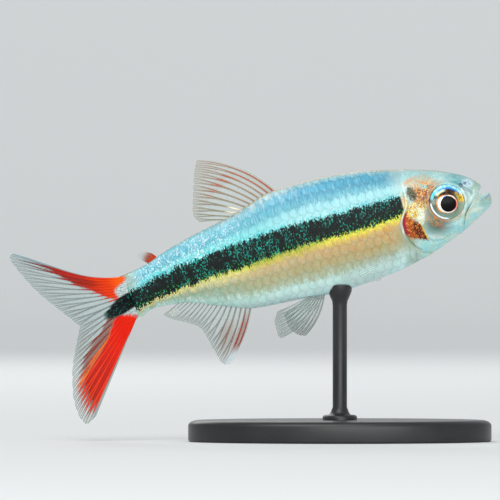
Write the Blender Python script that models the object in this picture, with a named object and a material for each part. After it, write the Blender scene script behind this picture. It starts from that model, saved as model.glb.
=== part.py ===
"""A life-size display model of a slender, black-banded tetra with a red tail, swimming nose up on a small stand.

Metres, +Z up, nose towards +X. The fish is drawn level in a frame of its own and then tilted on its stand.
In that frame a place is a pair of shares of the standard length: how far behind the snout, and how far
above the axis from the snout to the root of the tail fin.
"""

import math

import bmesh
import bpy
import numpy as np

# Driving dimensions of the fish, in metres.
STANDARD_LENGTH = 0.052
NOSE_UP = math.radians(15.0)
GAP = 0.0003
WEB = 0.0005
WEB_EDGE = 0.0003
RAY_RISE = 0.00011
PECTORAL_STAND_OFF = 0.00085
PELVIC_STAND_OFF = 0.00060

# Driving dimensions of the stand, in metres.
BASE_LENGTH = 0.042
BASE_WIDTH = 0.024
BASE_THICKNESS = 0.003
BASE_ROUNDING = 0.0008
TAIL_CLEARANCE = 0.0025
ROD_RADIUS = 0.0010
ROD_FOOT_RADIUS = 0.0024
ROD_FOOT_HEIGHT = 0.0008
ROD_CUP_RADIUS = 0.0017
ROD_CUP_HEIGHT = 0.0016
ROD_STATION = 0.40

# The body from nose to tail: distance behind the snout, back, belly and half width, as shares of the length.
BODY = (
    (-0.0145, -0.0100, -0.0100, 0.0000),  # tip of the lower jaw
    (0.0060, 0.0320, -0.0385, 0.0210),  # snout
    (0.0300, 0.0565, -0.0535, 0.0345),  # nostrils
    (0.1000, 0.0930, -0.0865, 0.0540),  # eye
    (0.2000, 0.1240, -0.1215, 0.0655),  # gill cover
    (0.3000, 0.1475, -0.1410, 0.0700),  # shoulder
    (0.4500, 0.1610, -0.1505, 0.0665),  # deepest
    (0.5370, 0.1590, -0.1430, 0.0600),  # front of the dorsal fin
    (0.6670, 0.1230, -0.1340, 0.0470),  # front of the anal fin
    (0.7600, 0.1045, -0.1030, 0.0360),  # middle of the anal fin
    (0.8560, 0.0800, -0.0700, 0.0255),  # end of the anal fin
    (0.9300, 0.0540, -0.0640, 0.0185),  # narrowest
    (1.0000, 0.0425, -0.0850, 0.0130),  # root of the tail fin
)
BODY_END = 1.03
WIDEST_HEIGHT = 0.56
BACK_FULLNESS = 0.92
BELLY_FULLNESS = 1.12
RINGS = 36
RING_SIDES = 28

# Lines that part the body, from above to below.
JAW_LINE = ((0.0150, 0.0050), (0.0435, -0.0187), (0.0633, -0.0410), (0.0774, -0.0730), (0.0840, -0.1200))
GILL_LINE = (
    (0.2070, 0.3000),
    (0.2060, 0.0509),
    (0.2322, -0.0082),
    (0.2353, -0.0371),
    (0.2251, -0.0671),
    (0.2127, -0.0886),
    (0.1974, -0.1098),
    (0.1780, -0.1400),
    (0.1700, -0.3000),
)
STEM_LINE = ((0.8640, 0.3000), (0.8640, -0.3000))
TAIL_LINE = ((1.0270, 0.3000), (0.9940, 0.0425), (0.9780, -0.0830), (0.9500, -0.3000))
UPPER_LIP = ((0.0110, 0.0440), (0.0062, 0.0330), (0.0062, 0.0215), (0.0120, 0.0105))
LOWER_LIP = ((0.0125, 0.0020), (0.0030, 0.0022), (-0.0085, 0.0028))
CHIN_CORNER = (-0.0120, 0.0008)
OUTSIDE = 0.3

# The eye and the nostrils.
EYE_AT = (0.1033, 0.0083)
EYE_RADIUS = 0.00246
EYE_DEPTH = 0.0012
EYE_SINK = 0.00078
EYE_RIM = 0.00022
NOSTRILS = ((0.0455, 0.0440, 0.00022), (0.0560, 0.0425, 0.00030))
NOSTRIL_RIM = 0.00012
LIP_RADIUS = 0.00026
LIP_END_RADIUS = 0.00014
LIP_SAMPLES = 21

# The gill cover: height, front edge and rear edge.
GILL_COVER = (
    (0.0470, 0.1800, 0.1980),
    (0.0200, 0.1710, 0.2150),
    (-0.0082, 0.1700, 0.2275),
    (-0.0371, 0.1725, 0.2305),
    (-0.0671, 0.1760, 0.2200),
    (-0.0886, 0.1800, 0.2075),
    (-0.0980, 0.1840, 0.2000),
)
GILL_PROUD = 0.00012
GILL_THICKNESS = 0.0005

MATERIALS = {
    "silver_skin": ((0.62, 0.74, 0.78), 0.30, 0.35),
    "golden_cheek": ((0.72, 0.50, 0.28), 0.32, 0.35),
    "eye": ((0.05, 0.05, 0.05), 0.10, 0.0),
    "clear_fin": ((0.45, 0.56, 0.52), 0.40, 0.0),
    "red_fin": ((0.86, 0.16, 0.05), 0.40, 0.0),
    "stand": ((0.10, 0.10, 0.11), 0.45, 0.0),
}


def smooth_curve(knots, values, wanted):
    """Values at the wanted places on a curve through the knots that adds no bumps between them."""
    knots, values, wanted = (np.asarray(a, float) for a in (knots, values, wanted))
    step = np.diff(knots)
    slope = np.diff(values) / step
    tangent = np.concatenate([slope[:1], np.zeros(len(knots) - 2), slope[-1:]])
    same_way = slope[:-1] * slope[1:] > 0
    before, after = 2 * step[1:] + step[:-1], step[1:] + 2 * step[:-1]
    safe = np.where(same_way, slope[:-1] * slope[1:], 1.0)
    mean = (before + after) * safe / (before * slope[1:] + after * slope[:-1] + ~same_way)
    tangent[1:-1] = np.where(same_way, mean, 0.0)
    i = np.clip(np.searchsorted(knots, wanted) - 1, 0, len(step) - 1)
    t = (wanted - knots[i]) / step[i]
    rise = values[i] * (1 + 2 * t) * (1 - t) ** 2 + values[i + 1] * t**2 * (3 - 2 * t)
    turn = tangent[i] * t * (1 - t) ** 2 - tangent[i + 1] * t**2 * (1 - t)
    return rise + turn * step[i]


def place(behind, aside, above):
    """Points of the fish's own frame, from shares of its length and a distance aside in metres."""
    behind, aside, above = np.broadcast_arrays(behind, aside, above)
    return np.stack([(ROD_STATION - behind) * STANDARD_LENGTH, aside, above * STANDARD_LENGTH], -1)


def section(behind):
    """Back, widest height, belly and half width at a distance behind the snout, as shares of the length."""
    stations = np.array(BODY)
    nose = stations[0, 0]
    knots = np.sqrt(stations[:, 0] - nose)
    wanted = np.sqrt(np.maximum(np.asarray(behind, float) - nose, 0.0))
    back, belly, half = (smooth_curve(knots, stations[:, i], wanted) for i in (1, 2, 3))
    return back, belly + WIDEST_HEIGHT * (back - belly), belly, half


def side_of_body(behind, above):
    """Half width of the body, in metres, at a distance behind the snout and a height."""
    back, widest, belly, half = section(behind)
    upper = np.asarray(above) > widest
    reach = np.where(upper, back - widest, widest - belly)
    share = np.clip((above - widest) / reach, -1.0, 1.0)
    fullness = np.where(upper, BACK_FULLNESS, BELLY_FULLNESS)
    return half * np.sqrt(1 - share**2) ** fullness * STANDARD_LENGTH


def outward(behind, above, side):
    """Unit normal of the body's flank at a place, on the side whose sign is given."""
    step = 0.002
    run = (side_of_body(behind + step, above) - side_of_body(behind - step, above)) / (2 * step)
    rise = (side_of_body(behind, above + step) - side_of_body(behind, above - step)) / (2 * step)
    normal = np.stack([run / STANDARD_LENGTH, side * np.ones_like(run), -rise / STANDARD_LENGTH], -1)
    return normal / np.linalg.norm(normal, axis=-1, keepdims=True)


def add_object(name, points, faces, material=None, parent=None):
    """A mesh object with its faces turned outwards."""
    shape = bmesh.new()
    corners = [shape.verts.new(point) for point in np.asarray(points, float)]
    for face in faces:
        shape.faces.new([corners[i] for i in face])
    bmesh.ops.recalc_face_normals(shape, faces=shape.faces)
    mesh = bpy.data.meshes.new(name)
    shape.to_mesh(mesh)
    shape.free()
    thing = bpy.data.objects.new(name, mesh)
    bpy.context.collection.objects.link(thing)
    thing.parent = parent
    if material:
        mesh.materials.append(finish(material))
    else:
        thing.hide_render = True
        thing.display_type = "WIRE"
    return thing


def finish(name):
    """The named material, made once."""
    made = bpy.data.materials.get(name)
    if made is None:
        colour, roughness, metallic = MATERIALS[name]
        made = bpy.data.materials.new(name)
        made.use_nodes = True
        shader = made.node_tree.nodes["Principled BSDF"]
        shader.inputs["Base Color"].default_value = (*colour, 1.0)
        shader.inputs["Roughness"].default_value = roughness
        shader.inputs["Metallic"].default_value = metallic
    return made


def faces_between(first, second):
    """Quads between two rings of point numbers."""
    onward = np.roll(np.arange(len(first)), -1)
    return [(first[i], first[j], second[j], second[i]) for i, j in enumerate(onward)]


def tube(rings):
    """Points and faces of a closed tube through rings of points, with a flat face at each end."""
    count, sides = rings.shape[:2]
    number = np.arange(count * sides).reshape(count, sides).tolist()
    faces = [face for a, b in zip(number, number[1:]) for face in faces_between(a, b)]
    return rings.reshape(-1, 3), faces + [number[0][::-1], number[-1]]


def ring_tube(rings):
    """Points and faces of a tube whose last ring joins its first."""
    count, sides = rings.shape[:2]
    number = np.arange(count * sides).reshape(count, sides).tolist()
    pairs = zip(number, number[1:] + number[:1])
    return rings.reshape(-1, 3), [face for a, b in pairs for face in faces_between(a, b)]


def slab(near, far):
    """Points and triangles of the solid between two grids of points, split alike on both faces."""
    rows, columns = near.shape[:2]
    number = np.arange(rows * columns).reshape(rows, columns)
    a, b, c, d = number[:-1, :-1], number[1:, :-1], number[1:, 1:], number[:-1, 1:]
    near_faces = np.concatenate([np.stack([a, b, c], -1), np.stack([a, c, d], -1)], 0).reshape(-1, 3)
    far_faces = near_faces[:, ::-1] + rows * columns
    border = np.concatenate([number[0, :-1], number[:-1, -1], number[-1, :0:-1], number[:0:-1, 0]])
    walls = faces_between(border.tolist(), (border + rows * columns).tolist())
    points = np.concatenate([near.reshape(-1, 3), far.reshape(-1, 3)])
    return points, near_faces.tolist() + far_faces.tolist() + walls


def combine(thing, others, operation):
    """The object after one Boolean with the others, which are removed."""
    group = bpy.data.collections.new("tools")
    bpy.context.scene.collection.children.link(group)
    for other in others:
        group.objects.link(other)
    step = thing.modifiers.new(operation.lower(), "BOOLEAN")
    step.operation = operation
    step.solver = "EXACT"
    step.operand_type = "COLLECTION"
    step.collection = group
    bpy.context.view_layer.update()
    evaluated = thing.evaluated_get(bpy.context.evaluated_depsgraph_get())
    made = bpy.data.meshes.new_from_object(evaluated)
    thing.modifiers.clear()
    thing.data = made
    for other in others:
        bpy.data.objects.remove(other)
    bpy.data.collections.remove(group)
    keep_largest(thing)
    return thing


def keep_largest(thing):
    """Leaves only the largest closed surface of a mesh."""
    shape = bmesh.new()
    shape.from_mesh(thing.data)
    left = set(shape.faces)
    islands = []
    while left:
        island, edge = set(), [left.pop()]
        while edge:
            face = edge.pop()
            island.add(face)
            beside = {other for line in face.edges for other in line.link_faces} & left
            left -= beside
            edge.extend(beside)
        islands.append(island)
    largest = max(islands, key=lambda island: sum(face.calc_area() for face in island))
    spare = [face for island in islands if island is not largest for face in island]
    bmesh.ops.delete(shape, geom=spare, context="FACES")
    shape.to_mesh(thing.data)
    shape.free()


def whole_body(name, swell=0.0):
    """The fish from jaw tip to tail root as one closed shape, swollen all round by a distance in metres."""
    grown = swell / STANDARD_LENGTH
    nose = BODY[0][0]
    behind = nose + np.linspace(0.0, math.sqrt(BODY_END - nose), RINGS + 1)[1:] ** 2
    back, widest, belly, half = section(behind)
    turn = np.arange(RING_SIDES) * 2 * math.pi / RING_SIDES
    up, side = np.cos(turn), np.sin(turn)
    reach = np.where(up > 0, (back - widest + grown)[:, None], (widest - belly + grown)[:, None])
    above = widest[:, None] + reach * up
    fullness = np.where(up > 0, BACK_FULLNESS, BELLY_FULLNESS)
    aside = (half[:, None] + grown) * np.sign(side) * np.abs(side) ** fullness * STANDARD_LENGTH
    rings = place(behind[:, None], aside, above)
    points, faces = tube(rings)
    tip = len(points)
    faces.remove(list(range(RING_SIDES))[::-1])
    faces += [(i, (i + 1) % RING_SIDES, tip) for i in range(RING_SIDES)]
    points = np.concatenate([points, [place(nose - grown, 0.0, BODY[0][1])]])
    return add_object(name, points, faces)


def region(name, outline, half_depth=0.02):
    """A block across the fish, whose outline is seen from the side."""
    behind, above = np.array(outline).T
    near, far = (place(behind, y, above) for y in (-half_depth, half_depth))
    return add_object(name, *tube(np.stack([near, far])))


def shifted(line, distance):
    """A line seen from the side, moved across itself by metres, tailwards where it runs downwards."""
    points = np.array(line)
    along = np.gradient(points, axis=0)
    across = np.stack([-along[:, 1], along[:, 0]], -1)
    across /= np.linalg.norm(across, axis=1, keepdims=True)
    return (points + across * distance / STANDARD_LENGTH).tolist()


def rod_along(path, radius, sides=6):
    """Rings round a path of points, one radius for each."""
    along = np.gradient(path, axis=0)
    along /= np.linalg.norm(along, axis=1, keepdims=True)
    first = np.cross(along, np.array([0.0, 0.0, 1.0]))
    first /= np.linalg.norm(first, axis=1, keepdims=True)
    second = np.cross(along, first)
    turn = np.arange(sides) * 2 * math.pi / sides
    circle = first[:, None] * np.cos(turn)[:, None] + second[:, None] * np.sin(turn)[:, None]
    return path[:, None] + circle * np.broadcast_to(radius, len(path))[:, None, None]


def lip(name, line, ends):
    """A rounded lip that runs along a line of the mouth, round the front and back along the other side."""
    points = np.array(line)
    along = np.linspace(0.0, 1.0, len(points))
    wanted = np.linspace(0.0, 1.0, LIP_SAMPLES)
    behind, above = (smooth_curve(along, points[:, i], wanted) for i in (0, 1))
    aside = side_of_body(behind, above)
    half = place(behind, aside, above)[aside > LIP_RADIUS]
    front = half[:1] * (1, 0, 1)
    path = np.concatenate([half[::-1] * (1, -1, 1), front, half])
    from_middle = np.abs(np.linspace(-1.0, 1.0, len(path)))
    return add_object(name, *tube(rod_along(path, LIP_RADIUS + (ends - LIP_RADIUS) * from_middle)))


def eye_shape(name, side, swell=0.0, material=None, parent=None):
    """A flattened ball set into the head, seen as a circle from the side."""
    behind, above = EYE_AT
    depth = side_of_body(behind, above) - EYE_SINK
    around, across = 24, 8
    lean = np.linspace(0.0, math.pi, across + 1)[1:-1]
    turn = np.arange(around) * 2 * math.pi / around
    radius = (EYE_RADIUS + swell) * np.sin(lean)[:, None]
    middle = place(behind, side * depth, above)
    offset = np.stack(
        [
            radius * np.cos(turn),
            np.repeat(((EYE_DEPTH + swell) * np.cos(lean))[:, None], around, 1),
            radius * np.sin(turn),
        ],
        -1,
    )
    rings = middle + offset
    points, faces = tube(rings)
    faces = faces[:-2]
    poles = [middle + (0, (EYE_DEPTH + swell) * end, 0) for end in (1, -1)]
    top, bottom = len(points), len(points) + 1
    last = len(points) - around
    for i in range(around):
        j = (i + 1) % around
        faces += [(j, i, top), (last + i, last + j, bottom)]
    return add_object(name, np.concatenate([points, poles]), faces, material, parent)


def rim_shape(name, at, radius, thickness, side, around=20, sides=5):
    """A raised ring that lies on the head round a place on its side."""
    turn = np.arange(around) * 2 * math.pi / around
    behind = at[0] + radius / STANDARD_LENGTH * np.cos(turn)
    above = at[1] + radius / STANDARD_LENGTH * np.sin(turn)
    middle = place(behind, side * side_of_body(behind, above), above)
    out = outward(behind, above, side)
    along = np.roll(middle, -1, 0) - np.roll(middle, 1, 0)
    along /= np.linalg.norm(along, axis=1, keepdims=True)
    flat = np.cross(along, out)
    ring = np.arange(sides) * 2 * math.pi / sides
    circle = flat[:, None] * np.cos(ring)[:, None] + out[:, None] * np.sin(ring)[:, None]
    return add_object(name, *ring_tube(middle[:, None] + thickness * circle))


def ball(name, middle, radius):
    """A small ball."""
    shape = bmesh.new()
    bmesh.ops.create_icosphere(shape, subdivisions=1, radius=radius)
    points = np.array([corner.co for corner in shape.verts]) + middle
    faces = [[corner.index for corner in face.verts] for face in shape.faces]
    shape.free()
    return add_object(name, points, faces)


def gill_plate(name, side, margin=0.0, inner=None, outer=None, material=None, parent=None):
    """A thin plate that follows the cheek, or the hollow for one when it has a margin."""
    height, front, rear = np.array(GILL_COVER).T
    share = margin / STANDARD_LENGTH
    rows, columns = 9, 5
    down = np.linspace(0.0, 1.0, rows)
    above = height[0] + (height[-1] - height[0]) * down
    head = smooth_curve(height[::-1], front[::-1], above) - share
    tail = smooth_curve(height[::-1], rear[::-1], above) + share
    behind = head[:, None] + (tail - head)[:, None] * np.linspace(0.0, 1.0, columns)
    above = (above + share * np.linspace(1.0, -1.0, rows))[:, None] * np.ones(columns)
    skin = place(behind, side * side_of_body(behind, above), above)
    out = outward(behind, above, side)
    inner = GILL_PROUD - GILL_THICKNESS if inner is None else inner
    outer = GILL_PROUD if outer is None else outer
    return add_object(name, *slab(skin + outer * out, skin + inner * out), material, parent)


def fin_grid(roots, tips, rays, bow, rows, hook):
    """Middle surface of a fin: each row of points runs along one ray line from root to tip.

    Roots and tips are lists of (share of the rays counted from the front, distance behind, aside, above).
    The rays bow ahead by a share of their length; a larger hook brings the bend nearer to the root.
    """
    offsets = np.array([0.0, 0.28, 0.72])
    ray = np.concatenate([(np.arange(rays - 1)[:, None] + offsets).ravel(), [rays - 1]]) / (rays - 1)
    on_ray = np.abs(ray * (rays - 1) - np.round(ray * (rays - 1))) < 0.01

    def ends(table):
        table = np.array(table)
        behind, aside, above = (smooth_curve(table[:, 0], table[:, i], ray) for i in (1, 2, 3))
        return place(behind, aside, above)

    root, tip = ends(roots), ends(tips)
    along = np.linspace(0.0, 1.0, rows)[None, :, None]
    straight = root[:, None] + (tip - root)[:, None] * along
    run = tip - root
    ahead = np.stack([run[:, 2], np.zeros(len(run)), -run[:, 0]], -1)
    bend = smooth_curve(np.linspace(0.0, 1.0, len(bow)), bow, ray)[:, None, None]
    crest = 1 / (1 + hook)
    arch = along * (1 - along) ** hook / (crest * (1 - crest) ** hook)
    grid = straight + ahead[:, None] * bend * arch
    return grid, on_ray


def fin(name, material, parent, roots, tips, rays, bow=(0.0, 0.0), rows=7, root_thickness=0.0008, wave=0.0, hook=1):
    """A fin: a web with a ridge on both faces for each ray."""
    grid, on_ray = fin_grid(roots, tips, rays, bow, rows, hook)
    along = np.linspace(0.0, 1.0, rows)
    lean = wave * np.sin(math.pi * along)[None, :] * np.linspace(1.0, 0.2, len(grid))[:, None]
    grid[..., 1] += lean
    across = np.cross(np.gradient(grid, axis=0), np.gradient(grid, axis=1))
    across /= np.linalg.norm(across, axis=-1, keepdims=True)
    web = WEB + (root_thickness - WEB) * np.exp(-along / 0.15) + (WEB_EDGE - WEB) * along**6
    ridge = RAY_RISE * on_ray[:, None] * (1 - along**4)
    half = (web[None, :] / 2 + ridge)[..., None]
    return add_object(name, *slab(grid + across * half, grid - across * half), material, parent)


def paired(side, points):
    """The same points on one side of the fish: sideways distances change sign."""
    return [(share, behind, side * aside, above) for share, behind, aside, above in points]


def rooted(side, points, stand_off):
    """Root points of a paired fin, from (share of the rays, distance behind, height) a little off the flank."""
    share, behind, above = np.array(points).T
    spot = place(behind, side * side_of_body(behind, above), above) + stand_off * outward(behind, above, side)
    return [
        (share[i], ROD_STATION - spot[i, 0] / STANDARD_LENGTH, spot[i, 1], spot[i, 2] / STANDARD_LENGTH)
        for i in range(len(share))
    ]


def head_parts(body, parent):
    """Head, lower jaw, gill covers and eyes."""
    far = OUTSIDE
    gill_front = shifted(GILL_LINE, -GAP / 2)
    jaw_upper, jaw_lower = shifted(JAW_LINE, GAP / 2), shifted(JAW_LINE, -GAP / 2)
    head_outline = [(-0.1, far), (-0.1, 0.08), *UPPER_LIP, *jaw_upper, (jaw_upper[-1][0], -far), *gill_front[::-1]]
    jaw_outline = [(-0.1, -far), (jaw_lower[-1][0], -far), *jaw_lower[::-1], *LOWER_LIP]
    jaw_outline += [CHIN_CORNER, (-0.1, CHIN_CORNER[1])]
    upper_lip = lip("upper_lip", UPPER_LIP[2:] + JAW_LINE[:3], LIP_END_RADIUS)
    lower_lip = lip("lower_lip", LOWER_LIP[::-1], LIP_END_RADIUS)

    head = body_piece("head", body, head_outline, [upper_lip], "silver_skin", parent)
    jaw = body_piece("lower_jaw", body, jaw_outline, [lower_lip], "silver_skin", parent)
    rims, hollows = [], []
    for word, side in (("left", 1), ("right", -1)):
        rims.append(rim_shape(f"orbit_{word}", EYE_AT, EYE_RADIUS + GAP, EYE_RIM, side))
        hollows.append(eye_shape(f"socket_{word}", side, GAP))
        hollows.append(gill_plate(f"hollow_{word}", side, GAP, GILL_PROUD - GILL_THICKNESS - GAP, 0.001))
        for i, (behind, above, radius) in enumerate(NOSTRILS):
            rims.append(rim_shape(f"nostril_rim_{word}_{i}", (behind, above), radius, NOSTRIL_RIM, side, 8, 4))
            middle = place(behind, side * side_of_body(behind, above), above)
            hollows.append(ball(f"nostril_{word}_{i}", middle, radius))
    combine(head, rims, "UNION")
    combine(head, hollows, "DIFFERENCE")
    for word, side in (("left", 1), ("right", -1)):
        eye_shape(f"eye_{word}", side, material="eye", parent=parent)
        gill_plate(f"gill_cover_{word}", side, material="golden_cheek", parent=parent)
    return head, jaw


def body_piece(name, body, outline, additions, material, parent):
    """The part of the body inside an outline seen from the side, with anything that is fused to it first."""
    piece = body.copy()
    piece.data = body.data.copy()
    piece.name = name
    piece.parent = parent
    piece.hide_render = False
    piece.display_type = "TEXTURED"
    bpy.context.collection.objects.link(piece)
    if additions:
        combine(piece, additions, "UNION")
    combine(piece, [region(f"{name}_outline", outline)], "INTERSECT")
    piece.data.materials.clear()
    piece.data.materials.append(finish(material))
    return piece


def trunk_parts(body, parent):
    """The trunk, and the stem of the tail behind the anal fin."""
    stem_front, stem_rear = shifted(STEM_LINE, -GAP / 2), shifted(STEM_LINE, GAP / 2)
    trunk_outline = shifted(GILL_LINE, GAP / 2) + stem_front[::-1]
    stem_outline = stem_rear + [list(point) for point in TAIL_LINE[::-1]]
    body_piece("trunk", body, trunk_outline, [], "silver_skin", parent)
    body_piece("tail_stem", body, stem_outline, [], "silver_skin", parent)


def fitted(thing, clearance):
    """Cuts a fin or rod off where it would come nearer to the body than the gap."""
    cutter = clearance.copy()
    cutter.data = clearance.data.copy()
    bpy.context.collection.objects.link(cutter)
    return combine(thing, [cutter], "DIFFERENCE")


def median_fins(clearance, parent):
    """The fins on the middle line: dorsal, adipose and anal."""
    dorsal_roots = [(0.0, 0.5400, 0.0, 0.1480), (1.0, 0.6700, 0.0, 0.1080)]
    dorsal_tips = [
        (0.00, 0.7178, 0.0, 0.2883),
        (0.30, 0.7330, 0.0, 0.2560),
        (0.60, 0.7510, 0.0, 0.2000),
        (0.85, 0.7640, 0.0, 0.1500),
        (1.00, 0.7540, 0.0, 0.1270),
    ]
    dorsal = fin("dorsal_fin", "clear_fin", parent, dorsal_roots, dorsal_tips, 10, bow=(0.10, 0.0), wave=0.0004)
    fitted(dorsal, clearance)

    adipose_roots = [(0.0, 0.8840, 0.0, 0.0620), (1.0, 0.9080, 0.0, 0.0520)]
    adipose_tips = [(0.0, 0.9260, 0.0, 0.0900), (0.5, 0.9360, 0.0, 0.0830), (1.0, 0.9330, 0.0, 0.0730)]
    adipose = fin("adipose_fin", "red_fin", parent, adipose_roots, adipose_tips, 4, bow=(0.15, 0.0), rows=5)
    fitted(adipose, clearance)

    anal_roots = [(0.0, 0.6790, 0.0, -0.1200), (0.5, 0.7680, 0.0, -0.0880), (1.0, 0.8520, 0.0, -0.0580)]
    anal_tips = [
        (0.00, 0.7728, 0.0, -0.2591),
        (0.10, 0.7880, 0.0, -0.2560),
        (0.25, 0.8050, 0.0, -0.2060),
        (0.42, 0.8217, 0.0, -0.1480),
        (0.60, 0.8480, 0.0, -0.1265),
        (0.85, 0.8945, 0.0, -0.1000),
        (1.00, 0.9100, 0.0, -0.0860),
    ]
    anal = fin("anal_fin", "clear_fin", parent, anal_roots, anal_tips, 13, bow=(-0.06, 0.0), wave=-0.0004)
    fitted(anal, clearance)


def tail_fins(parent):
    """The two lobes of the tail fin, which meet along the middle rays."""
    start = shifted(TAIL_LINE[1:3], 1.4 * GAP)
    middle = np.mean(start, axis=0)
    fork = (1.1315, -0.0586)
    part = np.array(fork) - middle
    split = np.array([-part[1], part[0]]) / np.linalg.norm(part) * GAP / 2 / STANDARD_LENGTH
    upper_roots = [(0.0, start[0][0], 0.0, start[0][1]), (1.0, *add_aside(middle + split))]
    upper_tips = [
        (0.00, 1.2560, 0.0, 0.1755),
        (0.08, 1.2655, 0.0, 0.1650),
        (0.30, 1.2456, 0.0, 0.1124),
        (0.52, 1.2150, 0.0, 0.0550),
        (0.78, 1.1719, 0.0, -0.0037),
        (1.00, *add_aside(fork + split)),
    ]
    lower_roots = [(0.0, *add_aside(middle - split)), (1.0, start[1][0], 0.0, start[1][1])]
    lower_tips = [
        (0.00, *add_aside(fork - split)),
        (0.22, 1.1540, 0.0, -0.1040),
        (0.48, 1.1860, 0.0, -0.1800),
        (0.72, 1.1990, 0.0, -0.2560),
        (0.88, 1.1940, 0.0, -0.2980),
        (0.96, 1.1790, 0.0, -0.3147),
        (1.00, 1.1540, 0.0, -0.3030),
    ]
    shared = {"rays": 9, "rows": 9, "root_thickness": 0.0011}
    fin("tail_fin_upper", "red_fin", parent, upper_roots, upper_tips, bow=(-0.052, 0.0), wave=0.0006, hook=2, **shared)
    fin("tail_fin_lower", "red_fin", parent, lower_roots, lower_tips, bow=(0.0, 0.0), wave=0.0004, **shared)


def add_aside(pair):
    """A place on the middle plane as distance behind, aside and above."""
    return (float(pair[0]), 0.0, float(pair[1]))


def paired_fins(parent):
    """Pectoral and pelvic fins, spread a little away from the body."""
    pectoral_roots = [(0.0, 0.2500, -0.0830), (1.0, 0.2640, -0.1050)]
    pectoral_tips = [
        (0.00, 0.4200, 0.0052, -0.1080),
        (0.25, 0.4230, 0.0051, -0.1200),
        (0.60, 0.3900, 0.0046, -0.1400),
        (1.00, 0.3300, 0.0038, -0.1480),
    ]
    pelvic_roots = [(0.0, 0.4790, -0.1455), (1.0, 0.5240, -0.1400)]
    near_tips = [
        (0.00, 0.6200, 0.0046, -0.2270),
        (0.20, 0.6290, 0.0044, -0.2180),
        (0.60, 0.6290, 0.0036, -0.1850),
        (1.00, 0.6150, 0.0026, -0.1560),
    ]
    far_tips = [
        (0.00, 0.5560, 0.0048, -0.2390),
        (0.20, 0.5720, 0.0046, -0.2340),
        (0.60, 0.5950, 0.0038, -0.2050),
        (1.00, 0.6000, 0.0026, -0.1680),
    ]
    for word, side, pelvic_tips in (("left", 1, far_tips), ("right", -1, near_tips)):
        fin(
            f"pectoral_fin_{word}",
            "clear_fin",
            parent,
            rooted(side, pectoral_roots, PECTORAL_STAND_OFF),
            paired(side, pectoral_tips),
            rays=9,
            bow=(0.04, 0.0),
        )
        fin(
            f"pelvic_fin_{word}",
            "clear_fin",
            parent,
            rooted(side, pelvic_roots, PELVIC_STAND_OFF),
            paired(side, pelvic_tips),
            rays=8,
            bow=(-0.09, 0.0),
        )


def lowest_of_tail(fish):
    """Height of the tip of the tail below the origin of the tilted fish."""
    lobe = bpy.data.objects["tail_fin_lower"]
    return min((fish.matrix_world @ corner.co).z for corner in lobe.data.vertices)


def stand(clearance, parent, fish):
    """An oval base and a turned rod whose cup follows the belly."""
    around = np.arange(48) * 2 * math.pi / 48
    oval = np.stack([np.cos(around) / 2, np.sin(around) / 2], -1)
    inset = BASE_ROUNDING * (1 - math.cos(math.pi / 4))
    levels = [
        (0.0, 0.0),
        (BASE_THICKNESS - BASE_ROUNDING, 0.0),
        (BASE_THICKNESS - inset, inset),
        (BASE_THICKNESS, BASE_ROUNDING),
    ]
    rings = [
        np.column_stack([oval * (BASE_LENGTH - 2 * pull, BASE_WIDTH - 2 * pull), np.full(48, height)])
        for height, pull in levels
    ]
    add_object("stand_base", *tube(np.array(rings)), "stand", parent)

    belly = fish.location.z + float(section(ROD_STATION)[2]) * STANDARD_LENGTH
    foot = BASE_THICKNESS + GAP
    profile = [
        (foot, ROD_FOOT_RADIUS),
        (foot + ROD_FOOT_HEIGHT / 2, ROD_FOOT_RADIUS),
        (foot + ROD_FOOT_HEIGHT, ROD_RADIUS * 1.3),
        (foot + ROD_FOOT_HEIGHT * 1.8, ROD_RADIUS),
        (belly - ROD_CUP_HEIGHT, ROD_RADIUS),
        (belly - ROD_CUP_HEIGHT / 3, ROD_CUP_RADIUS),
        (belly + ROD_CUP_HEIGHT, ROD_CUP_RADIUS),
    ]
    turn = np.arange(20) * 2 * math.pi / 20
    circle = np.stack([np.cos(turn), np.sin(turn)], -1)
    rings = [np.column_stack([circle * radius, np.full(20, height)]) for height, radius in profile]
    rod = add_object("stand_rod", *tube(np.array(rings)), "stand", parent)
    fitted(rod, clearance)


def centre_on_origin(model):
    """Moves the whole model so that the middle of its box stands over the origin."""
    bpy.context.view_layer.update()
    shown = [thing for thing in bpy.context.scene.objects if thing.type == "MESH" and not thing.hide_render]
    corners = np.array([thing.matrix_world @ corner.co for thing in shown for corner in thing.data.vertices])
    middle = (corners.min(0) + corners.max(0)) / 2
    model.location = (-middle[0], -middle[1], 0.0)


def main():
    for thing in list(bpy.data.objects):
        bpy.data.objects.remove(thing)
    model = bpy.data.objects.new("model", None)
    fish = bpy.data.objects.new("fish", None)
    for empty in (model, fish):
        bpy.context.collection.objects.link(empty)
    fish.parent = model

    body = whole_body("body")
    clearance = whole_body("body_clearance", GAP)
    clearance.parent = fish
    head_parts(body, fish)
    trunk_parts(body, fish)
    median_fins(clearance, fish)
    paired_fins(fish)
    tail_fins(fish)
    fish.rotation_euler = (0.0, -NOSE_UP, 0.0)
    bpy.context.view_layer.update()
    fish.location.z = TAIL_CLEARANCE - lowest_of_tail(fish)
    bpy.context.view_layer.update()
    stand(clearance, model, fish)
    bpy.data.objects.remove(body)
    bpy.data.objects.remove(clearance)
    centre_on_origin(model)


main()
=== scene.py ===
# %% [markdown]
# # A tetra on its stand
# The model is a small tropical fish, as a museum shows it: life-size, swimming nose up, held by one rod over
# an oval base. The solids give its size and place. This lesson dresses them: one skin for head, body and
# tail, scales laid over it, shining eyes, gill covers, and fins with branched rays. We start by loading the
# solids. Nothing in them is moved.

# %% The fixed frame
import math
from types import SimpleNamespace

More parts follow.
